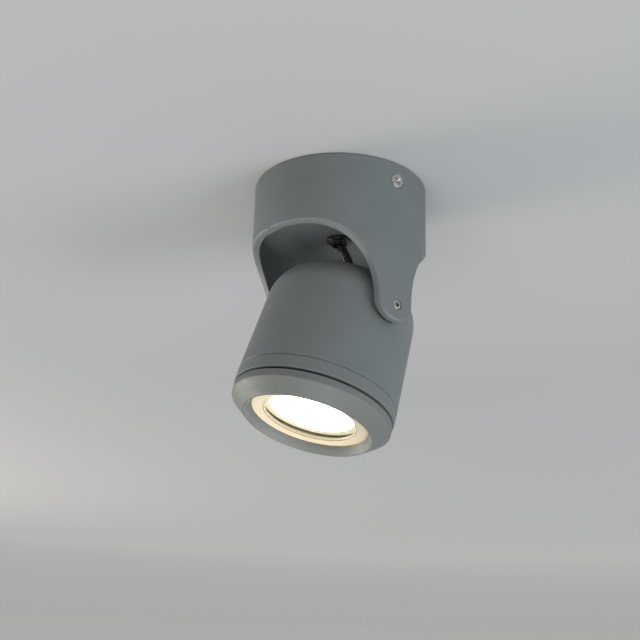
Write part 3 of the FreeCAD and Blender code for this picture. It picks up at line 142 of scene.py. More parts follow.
def lathe(name, corners, steps=160, closed=True, step=math.radians(12)):
    """A turned piece about Z from corners (radius, height, rounding) in mm."""
    outline = round_corners(corners, step)
    if not closed:
        outline_start, outline = outline[0], outline[1:]
    radius, height = outline[0]
    bpy.ops.object.select_all(action="DESELECT")
    bpy.ops.mesh.primitive_circle_add(vertices=steps, radius=radius * MM,
                                      location=(0, 0, height * MM))
    piece = bpy.context.object
    piece.name = piece.data.name = name
    bpy.ops.object.mode_set(mode="EDIT")
    bpy.ops.mesh.select_all(action="SELECT")
    after = outline[1:] + outline[:1] if closed else outline[1:]
    for radius_next, height_next in after:
        rise = (0, 0, (height_next - height) * MM)
        bpy.ops.mesh.extrude_region_move(TRANSFORM_OT_translate={"value": rise})
        share = radius_next / radius
        bpy.ops.transform.resize(value=(share, share, 1), center_override=(0, 0, 0))
        radius, height = radius_next, height_next
    if not closed:
        bpy.ops.mesh.select_all(action="SELECT")
        bpy.ops.mesh.remove_doubles(threshold=1e-6)
        bpy.ops.mesh.select_all(action="DESELECT")
        bpy.ops.mesh.select_non_manifold()
        rise = (0, 0, (outline_start[1] - outline[0][1]) * MM)
        bpy.ops.mesh.extrude_region_move(TRANSFORM_OT_translate={"value": rise})
        bpy.ops.transform.resize(value=(0, 0, 1), center_override=(0, 0, 0))
    bpy.ops.mesh.select_all(action="SELECT")
    bpy.ops.mesh.remove_doubles(threshold=1e-6)
    bpy.ops.mesh.normals_make_consistent(inside=False)
    bpy.ops.object.mode_set(mode="OBJECT")
    return apply_place(piece, UPRIGHT)


# %% [markdown]
# Holes and flats are taken out with a Boolean, and bosses are added with one. Shading is made
# smooth up to an angle, and a Weighted Normal modifier keeps the large faces even beside
# small roundings.

# %% Cut, join and smooth
def apply_modifier(piece, kind, **settings):
    """Add one modifier, set it and apply it."""
    bpy.ops.object.select_all(action="DESELECT")
    piece.select_set(True)
    bpy.context.view_layer.objects.active = piece
    modifier = piece.modifiers.new(kind.title(), kind)
    for key, setting in settings.items():
        setattr(modifier, key, setting)
    bpy.ops.object.modifier_apply(modifier=modifier.name)
    return piece


def combine(piece, tools, operation):
    """Take tools away from a piece, or add them to it."""
    for tool in tools:
        apply_modifier(piece, "BOOLEAN", object=tool, operation=operation, solver="MANIFOLD")
        bpy.data.objects.remove(tool)
    return piece


def smooth(piece, angle=35):
    """Smooth shading with even large faces."""
    bpy.ops.object.select_all(action="DESELECT")
    piece.select_set(True)
    bpy.context.view_layer.objects.active = piece
    bpy.ops.object.shade_smooth_by_angle(angle=math.radians(angle))
    return apply_modifier(piece, "WEIGHTED_NORMAL", keep_sharp=True)


def peg(name, radius, length, start, turn="Z", steps=48):
    """A plain round tool for holes and bosses that runs from a point along X, Y or Z."""
    way = {"X": Vector((1, 0, 0)), "Y": Vector((0, 1, 0)), "Z": Vector((0, 0, 1))}[turn]
    bpy.ops.object.select_all(action="DESELECT")
    bpy.ops.mesh.primitive_cylinder_add(vertices=steps, radius=radius * MM, depth=length * MM)
    tool = bpy.context.object
    tool.name = name
    place = (Vector(start) + way * length / 2) * MM
    facing = way.to_track_quat("Z", "Y").to_matrix().to_4x4()
    return apply_place(tool, Matrix.Translation(place) @ facing)


def dress(piece, body, slot, *nodes):
    """Let a piece ride on its body, in a finish, in place of CAD nodes."""
    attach(piece, body)
    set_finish(piece, slot)
    if nodes:
        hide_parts(*nodes)
    print(piece.name, "faces:", len(piece.data.polygons))
    return piece


# %% [markdown]
# ## The canopy
# The canopy is a cast cup. Two wide arches are cut out of its wall, and what stays between them
# are the ears. The sides of an ear run straight down, so a bevel has no room to slide there.
# The wall is therefore drawn as rings of points that follow the arches: each ring is the edge
# of the cut, moved a little into the metal and round its corner.

# %% Sizes of the canopy
CANOPY_RADIUS = 45.0
CANOPY_BORE = 41.1
ARCH_TOP = -33.6
EAR_TIP = -71.6
EAR_HALF = 10.5
PARTITION_LOW = -26.0
PARTITION_HIGH = -22.4
BUSH_HOLE = 4.6
OUTER_ROUNDING = 1.1
INNER_ROUNDING = 0.5
EDGE_STEP = 1.2


def edge_at(share):
    """Place and inward direction (y, z) of the cut edge, from an ear's tip to an arch's top."""
    if share < 0.5:
        turn = math.pi * share
        out = Vector((math.sin(turn), -math.cos(turn)))
        return Vector((0, EAR_TIP)) + out * EAR_HALF, -out
    turn = math.pi * (share - 0.5)
    wide, high = CANOPY_RADIUS - EAR_HALF, ARCH_TOP - EAR_TIP
    place = Vector((CANOPY_RADIUS - wide * math.cos(turn), EAR_TIP + high * math.sin(turn)))
    inward = Vector((-math.cos(turn) / wide, math.sin(turn) / high)).normalized()
    return place, inward


def even_shares():
    """Shares along the cut edge whose points on the wall lie evenly apart."""
    fine = [number / 4000 for number in range(4001)]
    spots = []
    for share in fine:
        y, z = edge_at(share)[0]
        spots.append(Vector((math.sqrt(max(CANOPY_RADIUS ** 2 - y * y, 0)), y, z)))
    travelled = [0.0]
    for before, after in zip(spots, spots[1:]):
        travelled.append(travelled[-1] + (after - before).length)
    count = round(travelled[-1] / EDGE_STEP)
    chosen = []
    for number in range(count + 1):
        goal = travelled[-1] * number / count
        chosen.append(next(share for share, run in zip(fine, travelled) if run >= goal - 1e-9))
    return chosen


# %% Rings of the canopy wall
quarter = even_shares()
STRAIGHT_PART = 30.0


def on_inner_wall(y):
    """Squeeze a width of the outer wall into the narrower inner wall, near the arch's top."""
    if y < STRAIGHT_PART:
        return y
    return STRAIGHT_PART + (y - STRAIGHT_PART) * (CANOPY_BORE - STRAIGHT_PART) / (
        CANOPY_RADIUS - STRAIGHT_PART)


def arch_height(y):
    """Height of the arch's edge at a width."""
    wide, high = CANOPY_RADIUS - EAR_HALF, ARCH_TOP - EAR_TIP
    return EAR_TIP + high * math.sqrt(max(1 - ((CANOPY_RADIUS - y) / wide) ** 2, 0))


def quarter_ring(radius, inset):
    """Points of one quarter of a ring, at a radius and a distance into the metal."""
    points = []
    for share in quarter:
        (y, z), inward = edge_at(share)
        if radius < (CANOPY_RADIUS + CANOPY_BORE) / 2 and y > STRAIGHT_PART:
            y = on_inner_wall(y)
            z = arch_height(y)
        y, z = y + inward.x * inset, z + inward.y * inset
        x = math.sqrt(max(radius ** 2 - y * y, 0)) if share < 1 else 0.0
        points.append((x, y, z))
    return points


def whole_ring(points):
    """Mirror a quarter ring into a whole one."""
    back = [(-x, y, z) for x, y, z in reversed(points[:-1])]
    half = points + back
    return half + [(x, -y, z) for x, y, z in reversed(half[1:-1])]


def level_ring(like, radius, height):
    """A level ring whose points stand over those of another ring."""
    points = []
    for x, y, z in like:
        length = math.hypot(x, y)
        points.append((x * radius / length, y * radius / length, height))
    return points


# %% Skin the canopy
rings = []
ROUND_STEPS = 4
for part in range(ROUND_STEPS + 1):
    turn = math.radians(90) * part / ROUND_STEPS
    rings.append(whole_ring(quarter_ring(CANOPY_RADIUS - OUTER_ROUNDING * (1 - math.cos(turn)),
                                         OUTER_ROUNDING * (1 - math.sin(turn)))))
for part in range(ROUND_STEPS, -1, -1):
    turn = math.radians(90) * part / ROUND_STEPS
    rings.append(whole_ring(quarter_ring(CANOPY_BORE + INNER_ROUNDING * (1 - math.cos(turn)),
                                         INNER_ROUNDING * (1 - math.sin(turn)))))
outer, inner = rings[0], rings[-1]
RIM_ROUNDING = 0.3
rings += [
    level_ring(inner, CANOPY_BORE, PARTITION_LOW),
    level_ring(inner, BUSH_HOLE, PARTITION_LOW),
    level_ring(inner, BUSH_HOLE, PARTITION_HIGH),
    level_ring(inner, CANOPY_BORE, PARTITION_HIGH),
    level_ring(inner, CANOPY_BORE, 0.0),
    level_ring(outer, CANOPY_RADIUS - RIM_ROUNDING, 0.0),
    level_ring(outer, CANOPY_RADIUS, -RIM_ROUNDING),
]
canopy_mesh = bpy.data.meshes.new("canopy_shell")
shell = bmesh.new()
corners = [[shell.verts.new(Vector(point) * MM) for point in ring] for ring in rings]
for ring, following in zip(corners, corners[1:] + corners[:1]):
    for number in range(len(ring)):
        after = (number + 1) % len(ring)
        shell.faces.new((ring[number], ring[after], following[after], following[number]))
bmesh.ops.recalc_face_normals(shell, faces=shell.faces)
shell.to_mesh(canopy_mesh)
shell.free()
canopy = bpy.data.objects.new("canopy_shell", canopy_mesh)
bpy.context.scene.collection.objects.link(canopy)

# %% [markdown]
# The canopy's bosses are short pegs that start inside the metal: a flat one in each ear for the
# pivot, and one on the partition for the earth screw. Then the holes are cut for the pivot
# screws, the countersunk side screws and the small screws inside.

# %% Bosses and holes of the canopy
EAR_FACE = 39.7
PIVOT_LEVEL = pivot.z / MM
SIDE_SCREW_LEVEL = -9.3
SIDE_HEAD = 3.9
SIDE_CONE = 2.1
SIDE_SINK = 0.15
SIDE_HOLE = 2.15
PAST_WALL = 1.8
PIVOT_HOLE = 2.52
EAR_BOSS = 7.0
EAR_BOSS_DEEP = 3.0
EARTH_PLACE = -24.0
EARTH_BOSS = 4.2
EARTH_HOLE = 1.92
BLOCK_SCREW_PLACE = (5.0, 22.0)
BLOCK_SCREW_HOLE = 1.25
DRILL = 100.0


def drill(radius, level):
    """A tool that drills through both sides along X."""
    return peg("hole", radius, DRILL, (-DRILL / 2, 0, level), "X")


def countersink(side):
    """The conical seat of a side screw, as a tool for a Boolean."""
    bpy.ops.object.select_all(action="DESELECT")
    deep = SIDE_CONE + PAST_WALL
    bpy.ops.mesh.primitive_cone_add(vertices=48, radius1=SIDE_HOLE * MM,
                                    radius2=(SIDE_HEAD + PAST_WALL) * MM, depth=deep * MM)
    tool = bpy.context.object
    reach = CANOPY_RADIUS - SIDE_SINK - SIDE_CONE + deep / 2
    facing = Vector((side, 0, 0)).to_track_quat("Z", "Y").to_matrix().to_4x4()
    place = Vector((side * reach, 0, SIDE_SCREW_LEVEL)) * MM
    return apply_place(tool, Matrix.Translation(place) @ facing)


bosses = [peg("boss", EAR_BOSS, EAR_BOSS_DEEP, (EAR_FACE, 0, PIVOT_LEVEL), "X"),
          peg("boss", EAR_BOSS, EAR_BOSS_DEEP, (-EAR_FACE - EAR_BOSS_DEEP, 0, PIVOT_LEVEL), "X"),
          peg("boss", EARTH_BOSS, 4.0, (0, EARTH_PLACE, PARTITION_HIGH - 1.0))]
combine(canopy, bosses, "UNION")
holes = [drill(PIVOT_HOLE, PIVOT_LEVEL),
         drill(SIDE_HOLE, SIDE_SCREW_LEVEL),
         countersink(1), countersink(-1),
         peg("hole", EARTH_HOLE, 6.0, (0, EARTH_PLACE, PARTITION_HIGH - 1.8)),
         peg("hole", BLOCK_SCREW_HOLE, 5.0, (*BLOCK_SCREW_PLACE, PARTITION_HIGH - 2.5))]
combine(canopy, holes, "DIFFERENCE")
smooth(canopy)
dress(canopy, "canopy_unit", "painted_grey", "canopy")

# %% [markdown]
# ## The head body
# The head is a turned can with a round shoulder at the back. Near the front runs a fine groove,
# and the front edge is a step in which the ring's skirt turns. Two flats are milled for the
# pivots, with a hole for a bush in each.

# %% Turn the head body
HEAD_RADIUS = 39.9
HEAD_TAPER = 1.7
HEAD_BACK = 23.1
HEAD_FRONT = -46.2
GROOVE = -39.9
SHOULDER = 18.8
HEAD_WALL = 5.5
HEAD_REAR_WALL = 3.5
COUNTERBORE_END = -38.4
rear_radius = HEAD_RADIUS - HEAD_TAPER * (1 + HEAD_BACK / -GROOVE)
head_bore = HEAD_RADIUS - HEAD_WALL
counterbore = head_bore + 1.9

head = lathe("head_shell", [
    (BUSH_HOLE, HEAD_BACK, 0.3),
    (rear_radius, HEAD_BACK, SHOULDER),
    (HEAD_RADIUS, GROOVE + 0.4, 0.15),
    (HEAD_RADIUS - 0.7, GROOVE, 0.12),
    (HEAD_RADIUS, GROOVE - 0.4, 0.15),
    (HEAD_RADIUS, HEAD_FRONT, 0.35),
    (counterbore, HEAD_FRONT, 0.2),
    (counterbore, COUNTERBORE_END, 0),
    (head_bore, COUNTERBORE_END, 0),
    (head_bore, HEAD_BACK - HEAD_REAR_WALL, SHOULDER - HEAD_REAR_WALL),
    (BUSH_HOLE, HEAD_BACK - HEAD_REAR_WALL, 0),
], steps=192, step=math.radians(5))
PIVOT_FLAT = 37.4
FLAT_RADIUS = 7.4
FLAT_DEEP = 6.0
PIVOT_BUSH_HOLE = 3.32
BRACKET_BACK = 10.3
POST_REACH = 24.0
POST_RADIUS = 3.6
POST_HOLE = 1.47
bracket_posts = [peg("post", POST_RADIUS, 9.0, (0, side * POST_REACH, BRACKET_BACK))
                 for side in (1, -1)]
combine(head, bracket_posts, "UNION")
milled = [peg("flat", FLAT_RADIUS, FLAT_DEEP, (PIVOT_FLAT, 0, 0), "X", 96),
          peg("flat", FLAT_RADIUS, FLAT_DEEP, (-PIVOT_FLAT - FLAT_DEEP, 0, 0), "X", 96),
          drill(PIVOT_BUSH_HOLE, 0)]
milled += [peg("hole", POST_HOLE, 7.0, (0, side * POST_REACH, BRACKET_BACK - 0.01))
           for side in (1, -1)]
combine(head, milled, "DIFFERENCE")
smooth(head)
apply_place(head, HEAD)
dress(head, "lamp_head", "painted_grey", "head_body")

# %% [markdown]
# ## The front ring
# The ring is one turned piece: a short straight band, a wide bevel, a lip that slopes in to the
# throat, and behind them the skirt that screws into the head. All its outer edges are softened.

# %% Turn the front ring
RING_BACK = -47.4
RING_FRONT = -57.2
RING_RADIUS = 39.5
RING_BAND = 3.6
RING_MOUTH = 31.8
RING_THROAT = 28.9
THROAT_FRONT = -52.9
SEAT = -52.6
RING_BORE = 33.5
RING_SKIRT = 36.0
SKIRT_LENGTH = 8.0

ring = lathe("bevelled_ring", [
    (RING_SKIRT, RING_BACK, 0.2),
    (RING_RADIUS, RING_BACK, 0.3),
    (RING_RADIUS, RING_BACK - RING_BAND, 0.7),
    (RING_MOUTH, RING_FRONT, 0.55),
    (RING_THROAT, THROAT_FRONT, 0.12),
    (RING_THROAT, SEAT, 0),
    (RING_BORE, SEAT, 0),
    (RING_BORE, RING_BACK + SKIRT_LENGTH, 0.3),
    (RING_SKIRT, RING_BACK + SKIRT_LENGTH, 0.3),
], steps=192)
smooth(ring)
apply_place(ring, HEAD)
dress(ring, "ring_unit", "ring_satin", "front_ring")

# %% [markdown]
# ## The glass seal
# A flat ring of soft pale silicone lies in front of the glass. Its inner edge is softly rounded,
# and a fine groove runs where the throat of the front ring begins.

# %% Turn the glass seal
GLASS_FRONT = -51.0
GLASS_RADIUS = 33.2
SEAL_HOLE = 23.0
SEAL_GROOVE = 0.6
seal = lathe("glass_seal", [
    (SEAL_HOLE, SEAT, 0.25),
    (RING_THROAT - 1.0, SEAT, 0.15),
    (RING_THROAT - 0.9, SEAT + SEAL_GROOVE, 0),
    (RING_THROAT + 0.3, SEAT + SEAL_GROOVE, 0),
    (RING_THROAT + 0.3, SEAT, 0),
    (GLASS_RADIUS, SEAT, 0),
    (GLASS_RADIUS, GLASS_FRONT, 0),
    (SEAL_HOLE, GLASS_FRONT, 0.1),
], steps=160)
smooth(seal)
apply_place(seal, HEAD)
dress(seal, "glass_unit", "silicone_white", "glass_gasket")

# %% [markdown]
# ## The cable and its bush
# A round black cable comes out of a rubber bush in the canopy and goes into the back of the
# head. It follows one smooth spline that a few chosen points lead.

# %% Turn the bush
BUSH_TOP = -20.8
BUSH_FLANGE = 6.4
BUSH_LIP = 5.6
FLANGE_END = -27.9
COLLAR_RADIUS = 4.3
COLLAR_END = -29.8
CABLE_RADIUS = 2.4
CABLE_EASE = 0.05
bush = lathe("cable_bush", [
    (CABLE_RADIUS + CABLE_EASE, BUSH_TOP, 0),
    (BUSH_HOLE, BUSH_TOP, 0.3),
    (BUSH_LIP, PARTITION_HIGH, 0.2),
    (BUSH_HOLE, PARTITION_HIGH, 0),
    (BUSH_HOLE, PARTITION_LOW, 0),
    (BUSH_FLANGE, PARTITION_LOW, 0.2),
    (BUSH_FLANGE, FLANGE_END, 0.9),
    (COLLAR_RADIUS, FLANGE_END - 0.2, 0.5),
    (COLLAR_RADIUS - 0.3, COLLAR_END, 0.3),
    (COLLAR_RADIUS - 0.6, COLLAR_END, 0.1),
    (CABLE_RADIUS + CABLE_EASE, PARTITION_LOW, 0.5),
], steps=64)
smooth(bush)
dress(bush, "canopy_unit", "black_rubber", "canopy_cable_bush")

# %% Lay the cable
behind_pivot = [HEAD @ Vector((0, 0, distance * MM)) for distance in (29.6, 17.0)]
CABLE_ROUTE = [
    Vector((0, 0, -17.0)) * MM,
    Vector((0, 0, -29.0)) * MM,
    Vector((2.2, 5.0, -37.5)) * MM,
    *behind_pivot,
]
line = bpy.data.curves.new("cable", "CURVE")
line.dimensions = "3D"
spline = line.splines.new("NURBS")
spline.points.add(len(CABLE_ROUTE) - 1)
for point, spot in zip(spline.points, CABLE_ROUTE):
    point.co = (*spot, 1)
spline.use_endpoint_u = True
spline.order_u = 3
spline.resolution_u = 48
line.bevel_depth = CABLE_RADIUS * MM
line.bevel_resolution = 8
line.use_fill_caps = True
drawn = bpy.data.objects.new("cable_line", line)
bpy.context.scene.collection.objects.link(drawn)
bpy.context.view_layer.update()
cable_mesh = bpy.data.meshes.new_from_object(
    drawn.evaluated_get(bpy.context.evaluated_depsgraph_get()))
bpy.data.objects.remove(drawn)
cable_mesh.name = "cable"
cable = bpy.data.objects.new("cable", cable_mesh)
bpy.context.scene.collection.objects.link(cable)
bpy.ops.object.select_all(action="DESELECT")
cable.select_set(True)
bpy.context.view_layer.objects.active = cable
bpy.ops.object.shade_smooth_by_angle(angle=math.radians(40))
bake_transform(cable)
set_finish(cable, "black_rubber")
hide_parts("supply_cable")

# %% [markdown]
# ## The screws that show
# Each side of the canopy has a countersunk screw with a cross recess, and each ear has a grub
# screw with a hexagon socket. Both are turned blanks with the socket cut out.

# %% Countersunk side screws
SOCKET_WIDE = 2.5
SOCKET_DEEP = 1.7
BAR_SHARE = 0.42
SOCKET_TAPER = 0.45
PAST_FACE = 0.2


def cross_socket(wide, deep):
    """A tapered cross that sinks from Z = 0, as a tool for a Boolean."""
    bars = []
    thin = BAR_SHARE * wide
    for long, broad in ((2 * wide, thin), (thin, 2 * wide)):
        bpy.ops.object.select_all(action="DESELECT")
        bpy.ops.mesh.primitive_cube_add(size=1, location=(0, 0, (PAST_FACE - deep) / 2 * MM))
        bar = bpy.context.object
        bar.scale = (long * MM, broad * MM, (deep + PAST_FACE) * MM)
        bpy.ops.object.transform_apply(location=True, rotation=True, scale=True)
        bpy.ops.object.mode_set(mode="EDIT")
        bpy.ops.mesh.select_all(action="DESELECT")
        bpy.ops.object.mode_set(mode="OBJECT")
        for vertex in bar.data.vertices:
            vertex.select = vertex.co.z < -deep * MM / 2
        bpy.ops.object.mode_set(mode="EDIT")
        bpy.ops.transform.resize(value=(SOCKET_TAPER, SOCKET_TAPER, 1),
                                 center_override=(0, 0, -deep * MM))
        bpy.ops.object.mode_set(mode="OBJECT")
        bars.append(bar)
    return combine(bars[0], bars[1:], "UNION")


def both_sides(piece, name):
    """Join a piece with its copy, turned half a turn about Z."""
    other = piece.copy()
    other.data = piece.data.copy()
    bpy.context.scene.collection.objects.link(other)
    apply_place(other, Matrix.Rotation(math.pi, 4, "Z"))
    bpy.ops.object.select_all(action="DESELECT")
    other.select_set(True)
    piece.select_set(True)
    bpy.context.view_layer.objects.active = piece
    bpy.ops.object.join()
    piece.name = piece.data.name = name
    return piece


def facing_x(reach, level, roll=0.0):
    """The place of a screw whose head looks along +X."""
    turn = Matrix.Rotation(math.radians(90), 4, "Y") @ Matrix.Rotation(math.radians(roll), 4, "Z")
    return Matrix.Translation(Vector((reach, 0, level)) * MM) @ turn


SIDE_SHANK = 1.95
SIDE_LENGTH = 10.0
SHANK_POINT = 0.8
SIDE_ROLL = 40
side_screw = lathe("side_screw", [
    (0, 0, 0),
    (SIDE_HEAD, 0, 0.2),
    (SIDE_SHANK, -SIDE_CONE, 0.2),
    (SIDE_SHANK, SHANK_POINT - SIDE_LENGTH, 0),
    (SIDE_SHANK - SHANK_POINT, -SIDE_LENGTH, 0),
    (0, -SIDE_LENGTH, 0),
], steps=64, closed=False)
combine(side_screw, [cross_socket(SOCKET_WIDE, SOCKET_DEEP)], "DIFFERENCE")
smooth(side_screw)
apply_place(side_screw, facing_x(CANOPY_RADIUS - SIDE_SINK, SIDE_SCREW_LEVEL, SIDE_ROLL))
both_sides(side_screw, "side_screws")
dress(side_screw, "canopy_unit", "stainless", "canopy_side_screws")

# %% Pivot grub screws
PIVOT_SINK = 0.4
PIVOT_THREAD = 2.5
THREAD_END = -4.9
PIN_RADIUS = 2.0
PIN_END = -9.6
CHAMFER = 0.35
PIN_CHAMFER = 0.4
KEY_RADIUS = 1.44
KEY_DEEP = 3.0
GRUB_ROLL = 8
grub = lathe("grub_screw", [
    (0, 0, 0),
    (PIVOT_THREAD - CHAMFER, 0, 0.1),
    (PIVOT_THREAD, -CHAMFER, 0.1),
    (PIVOT_THREAD, THREAD_END, 0),
    (PIN_RADIUS, THREAD_END, 0),
    (PIN_RADIUS, PIN_END + PIN_CHAMFER, 0),
    (PIN_RADIUS - PIN_CHAMFER, PIN_END, 0),
    (0, PIN_END, 0),
], steps=64, closed=False)
combine(grub, [peg("key", KEY_RADIUS, KEY_DEEP + 0.5, (0, 0, -KEY_DEEP), "Z", 6)], "DIFFERENCE")
smooth(grub)
apply_place(grub, facing_x(CANOPY_RADIUS - PIVOT_SINK, PIVOT_LEVEL, GRUB_ROLL))
both_sides(grub, "pivot_grub_screws")
dress(grub, "canopy_unit", "stainless", "pivot_screws")

# %% [markdown]
# ## The lamp
# A reflector lamp with a wide moulded rim looks out through the glass. Rim and shell are one
# turned piece. The lens in it is a flat disc, and what lies behind it only shows as faint marks,
# which belong to its finish.

# %% Turn the lamp's shell and lens
LAMP_FACE = -48.6
LAMP_RIM = 25.4
RIM_BACK = LAMP_FACE + 4.2
LENS_RADIUS = 21.0
LENS_THICK = 2.2
BOARD_RADIUS = 20.0
BOARD_BACK = -39.4
NECK_RADIUS = 15.5
NECK_FRONT = -17.0
NECK_BACK = -14.0
SHELL_WALL = 1.2
lamp_shell = lathe("lamp_reflector", [
    (LENS_RADIUS, LAMP_FACE, 0.15),
    (LAMP_RIM, LAMP_FACE, 0.6),
    (LAMP_RIM, RIM_BACK, 0.4),
    (LAMP_RIM - 0.9, RIM_BACK + 0.6, 0.2),
    (NECK_RADIUS, NECK_FRONT, 0.8),
    (NECK_RADIUS, NECK_BACK, 0.2),
    (NECK_RADIUS - SHELL_WALL, NECK_BACK, 0),
    (NECK_RADIUS - SHELL_WALL, NECK_FRONT, 0),
    (BOARD_RADIUS, BOARD_BACK, 0),
    (BOARD_RADIUS, LAMP_FACE + LENS_THICK, 0),
    (LENS_RADIUS, LAMP_FACE + LENS_THICK, 0),
], steps=128)
smooth(lamp_shell)
apply_place(lamp_shell, HEAD)
dress(lamp_shell, "lamp_head", "lamp_white", "lamp_shell")

lens = lathe("lamp_front_lens", [
    (0, LAMP_FACE, 0),
    (LENS_RADIUS, LAMP_FACE, 0.1),
    (LENS_RADIUS, LAMP_FACE + LENS_THICK, 0),
    (0, LAMP_FACE + LENS_THICK, 0),
], steps=128, closed=False)
smooth(lens)
apply_place(lens, HEAD)
dress(lens, "lamp_head", "lamp_lens", "lamp_lens")

# %% [markdown]
# ## Finishes
# Each finish is a Principled shader with a pattern on Object coordinates, which are in metres.
# Three helpers add what most real surfaces show: a slight change of colour, uneven gloss and a
# fine grain. Two more measure the distance from the head's axis and draw lathe marks with it.

# %% Helpers for finishes
# the colour sockets of a Mix node share their names with others, so they go by number
MIX_FIRST, MIX_SECOND, MIX_RESULT = 6, 7, 2


def finish(name, colour, roughness, metallic=0.0, sockets=None):
    """A new material with one Principled shader, and any further sockets of it by name."""
    material = bpy.data.materials.new(name)
    material.use_nodes = True
    shader = material.node_tree.nodes["Principled BSDF"]
    shader.inputs["Base Color"].default_value = (*colour, 1)
    shader.inputs["Roughness"].default_value = roughness
    shader.inputs["Metallic"].default_value = metallic
    for socket, setting in (sockets or {}).items():
        shader.inputs[socket].default_value = setting
    return material


def tools_of(material):
    """The node maker, the link maker and the Principled shader of a material."""
    tree = material.node_tree
    return tree.nodes.new, tree.links.new, tree.nodes["Principled BSDF"]


def noise(material, scale, detail=2.0, where=None):
    """A noise pattern on Object coordinates, or on another vector."""
    make, link, _ = tools_of(material)
    texture = make("ShaderNodeTexNoise")
    texture.inputs["Scale"].default_value = scale
    texture.inputs["Detail"].default_value = detail
    if where is None:
        where = make("ShaderNodeTexCoord").outputs["Object"]
    link(where, texture.inputs["Vector"])
    return texture.outputs["Fac"]


def mottle(material, dark, light, scale, detail=3.0):
    """Let the colour drift between two tones."""
    make, link, shader = tools_of(material)
    ramp = make("ShaderNodeValToRGB")
    ramp.color_ramp.elements[0].position = 0.3
    ramp.color_ramp.elements[1].position = 0.7
    ramp.color_ramp.elements[0].color = (*dark, 1)
    ramp.color_ramp.elements[1].color = (*light, 1)
    link(noise(material, scale, detail), ramp.inputs["Fac"])
    link(ramp.outputs["Color"], shader.inputs["Base Color"])
    return material


def uneven_gloss(material, low, high, scale):
    """Let the roughness drift between two values."""
    make, link, shader = tools_of(material)
    spread = make("ShaderNodeMapRange")
    spread.inputs["From Min"].default_value = 0.3
    spread.inputs["From Max"].default_value = 0.7
    spread.inputs["To Min"].default_value = low
    spread.inputs["To Max"].default_value = high
    link(noise(material, scale), spread.inputs["Value"])
    link(spread.outputs["Result"], shader.inputs["Roughness"])
    return material


def bumped(material, height, pattern, strength=1.0):
    """Raise the surface by a pattern, up to a height in mm."""
    make, link, shader = tools_of(material)
    bump = make("ShaderNodeBump")
    bump.inputs["Distance"].default_value = height * MM
    bump.inputs["Strength"].default_value = strength
    link(pattern, bump.inputs["Height"])
    link(bump.outputs["Normal"], shader.inputs["Normal"])
    return material


def head_radius(material):
    """The distance from the head's axis and the height along it."""
    make, link, _ = tools_of(material)
    inward = make("ShaderNodeMapping")
    inward.vector_type = "TEXTURE"
    inward.inputs["Location"].default_value = pivot
    inward.inputs["Rotation"].default_value = (-tilt, 0, 0)
    link(make("ShaderNodeTexCoord").outputs["Object"], inward.inputs["Vector"])
    apart = make("ShaderNodeSeparateXYZ")
    link(inward.outputs["Vector"], apart.inputs["Vector"])
    flat = make("ShaderNodeCombineXYZ")
    link(apart.outputs["X"], flat.inputs["X"])
    link(apart.outputs["Y"], flat.inputs["Y"])
    reach = make("ShaderNodeVectorMath")
    reach.operation = "LENGTH"
    link(flat.outputs["Vector"], reach.inputs[0])
    return reach.outputs["Value"], apart.outputs["Z"]


def lathe_marks(material, scale, detail=2.0):
    """Fine rings about the head's axis, as a lathe tool leaves them."""
    make, link, _ = tools_of(material)
    reach, along = head_radius(material)
    turned = make("ShaderNodeCombineXYZ")
    link(reach, turned.inputs["X"])
    link(along, turned.inputs["Y"])
    return noise(material, scale, detail, turned.outputs["Vector"])


# %% [markdown]
# ### Grey coats
# The canopy and the head wear the same grey powder coat, with a fine even grain. The ring wears
# a satin coat of nearly the same grey, and shows faint rings from the lathe under it.

# %% Mix the grey coats
coat = finish("powder_coat", (0.17, 0.19, 0.19), 0.5, 0.1)
mottle(coat, (0.160, 0.178, 0.176), (0.178, 0.198, 0.198), 35)
uneven_gloss(coat, 0.44, 0.56, 180)
bumped(coat, 0.03, noise(coat, 3200, 3), 0.45)

ring_coat = finish("satin_coat", (0.17, 0.182, 0.174), 0.50, 0.15)
mottle(ring_coat, (0.162, 0.174, 0.166), (0.177, 0.189, 0.181), 60)
uneven_gloss(ring_coat, 0.46, 0.56, 250)
bumped(ring_coat, 0.012, lathe_marks(ring_coat, 5200), 0.5)

# %% [markdown]
# ### Metals
# Bright screws, zinc plated steel, brass and tinned copper are metals with their own tint. The brass
# is painted darker, as shade, because the pivot bushes sit in a narrow shaded gap.
# A drifting gloss and a fine grain keep them from looking like plastic.

# %% Mix the metals
def metal(name, dark, light, rough_low, rough_high, grain):
    """A metal with drifting tint and gloss and a fine grain."""
    material = finish(name, light, rough_high, 1.0)
    mottle(material, dark, light, 400)
    uneven_gloss(material, rough_low, rough_high, 700)
    return bumped(material, 0.01, noise(material, grain, 3), 0.4)


stainless = metal("bright_steel", (0.56, 0.56, 0.55), (0.74, 0.74, 0.72), 0.18, 0.34, 4000)
zinc = metal("zinc_plate", (0.50, 0.51, 0.50), (0.62, 0.63, 0.61), 0.30, 0.48, 2500)
# painted shade: the brass is darker than real brass, as the pivot bushes sit in a shaded gap
brass = metal("brass_darkened_as_shade", (0.24, 0.18, 0.08), (0.34, 0.26, 0.12), 0.36, 0.52, 3000)
tinned = metal("tinned_copper", (0.60, 0.58, 0.54), (0.72, 0.70, 0.66), 0.28, 0.42, 3000)
bare_aluminium = metal("bare_aluminium", (0.56, 0.57, 0.58), (0.68, 0.69, 0.70), 0.26, 0.40, 3500)

# %% [markdown]
# ### Rubber, silicone and plastics
# The bush and the cable are glossy black. The seal is pale, and the lamp's light through it is
# painted on as a glow. The pieces inside are white, brown, blue and green-yellow plastics, and a
# cream ceramic.

# %% Mix the soft and moulded finishes
rubber = finish("black_rubber", (0.012, 0.012, 0.013), 0.28, sockets={"Specular IOR Level": 0.6})
mottle(rubber, (0.010, 0.010, 0.011), (0.018, 0.018, 0.020), 300)
uneven_gloss(rubber, 0.20, 0.36, 500)
bumped(rubber, 0.02, noise(rubber, 1800, 2), 0.3)

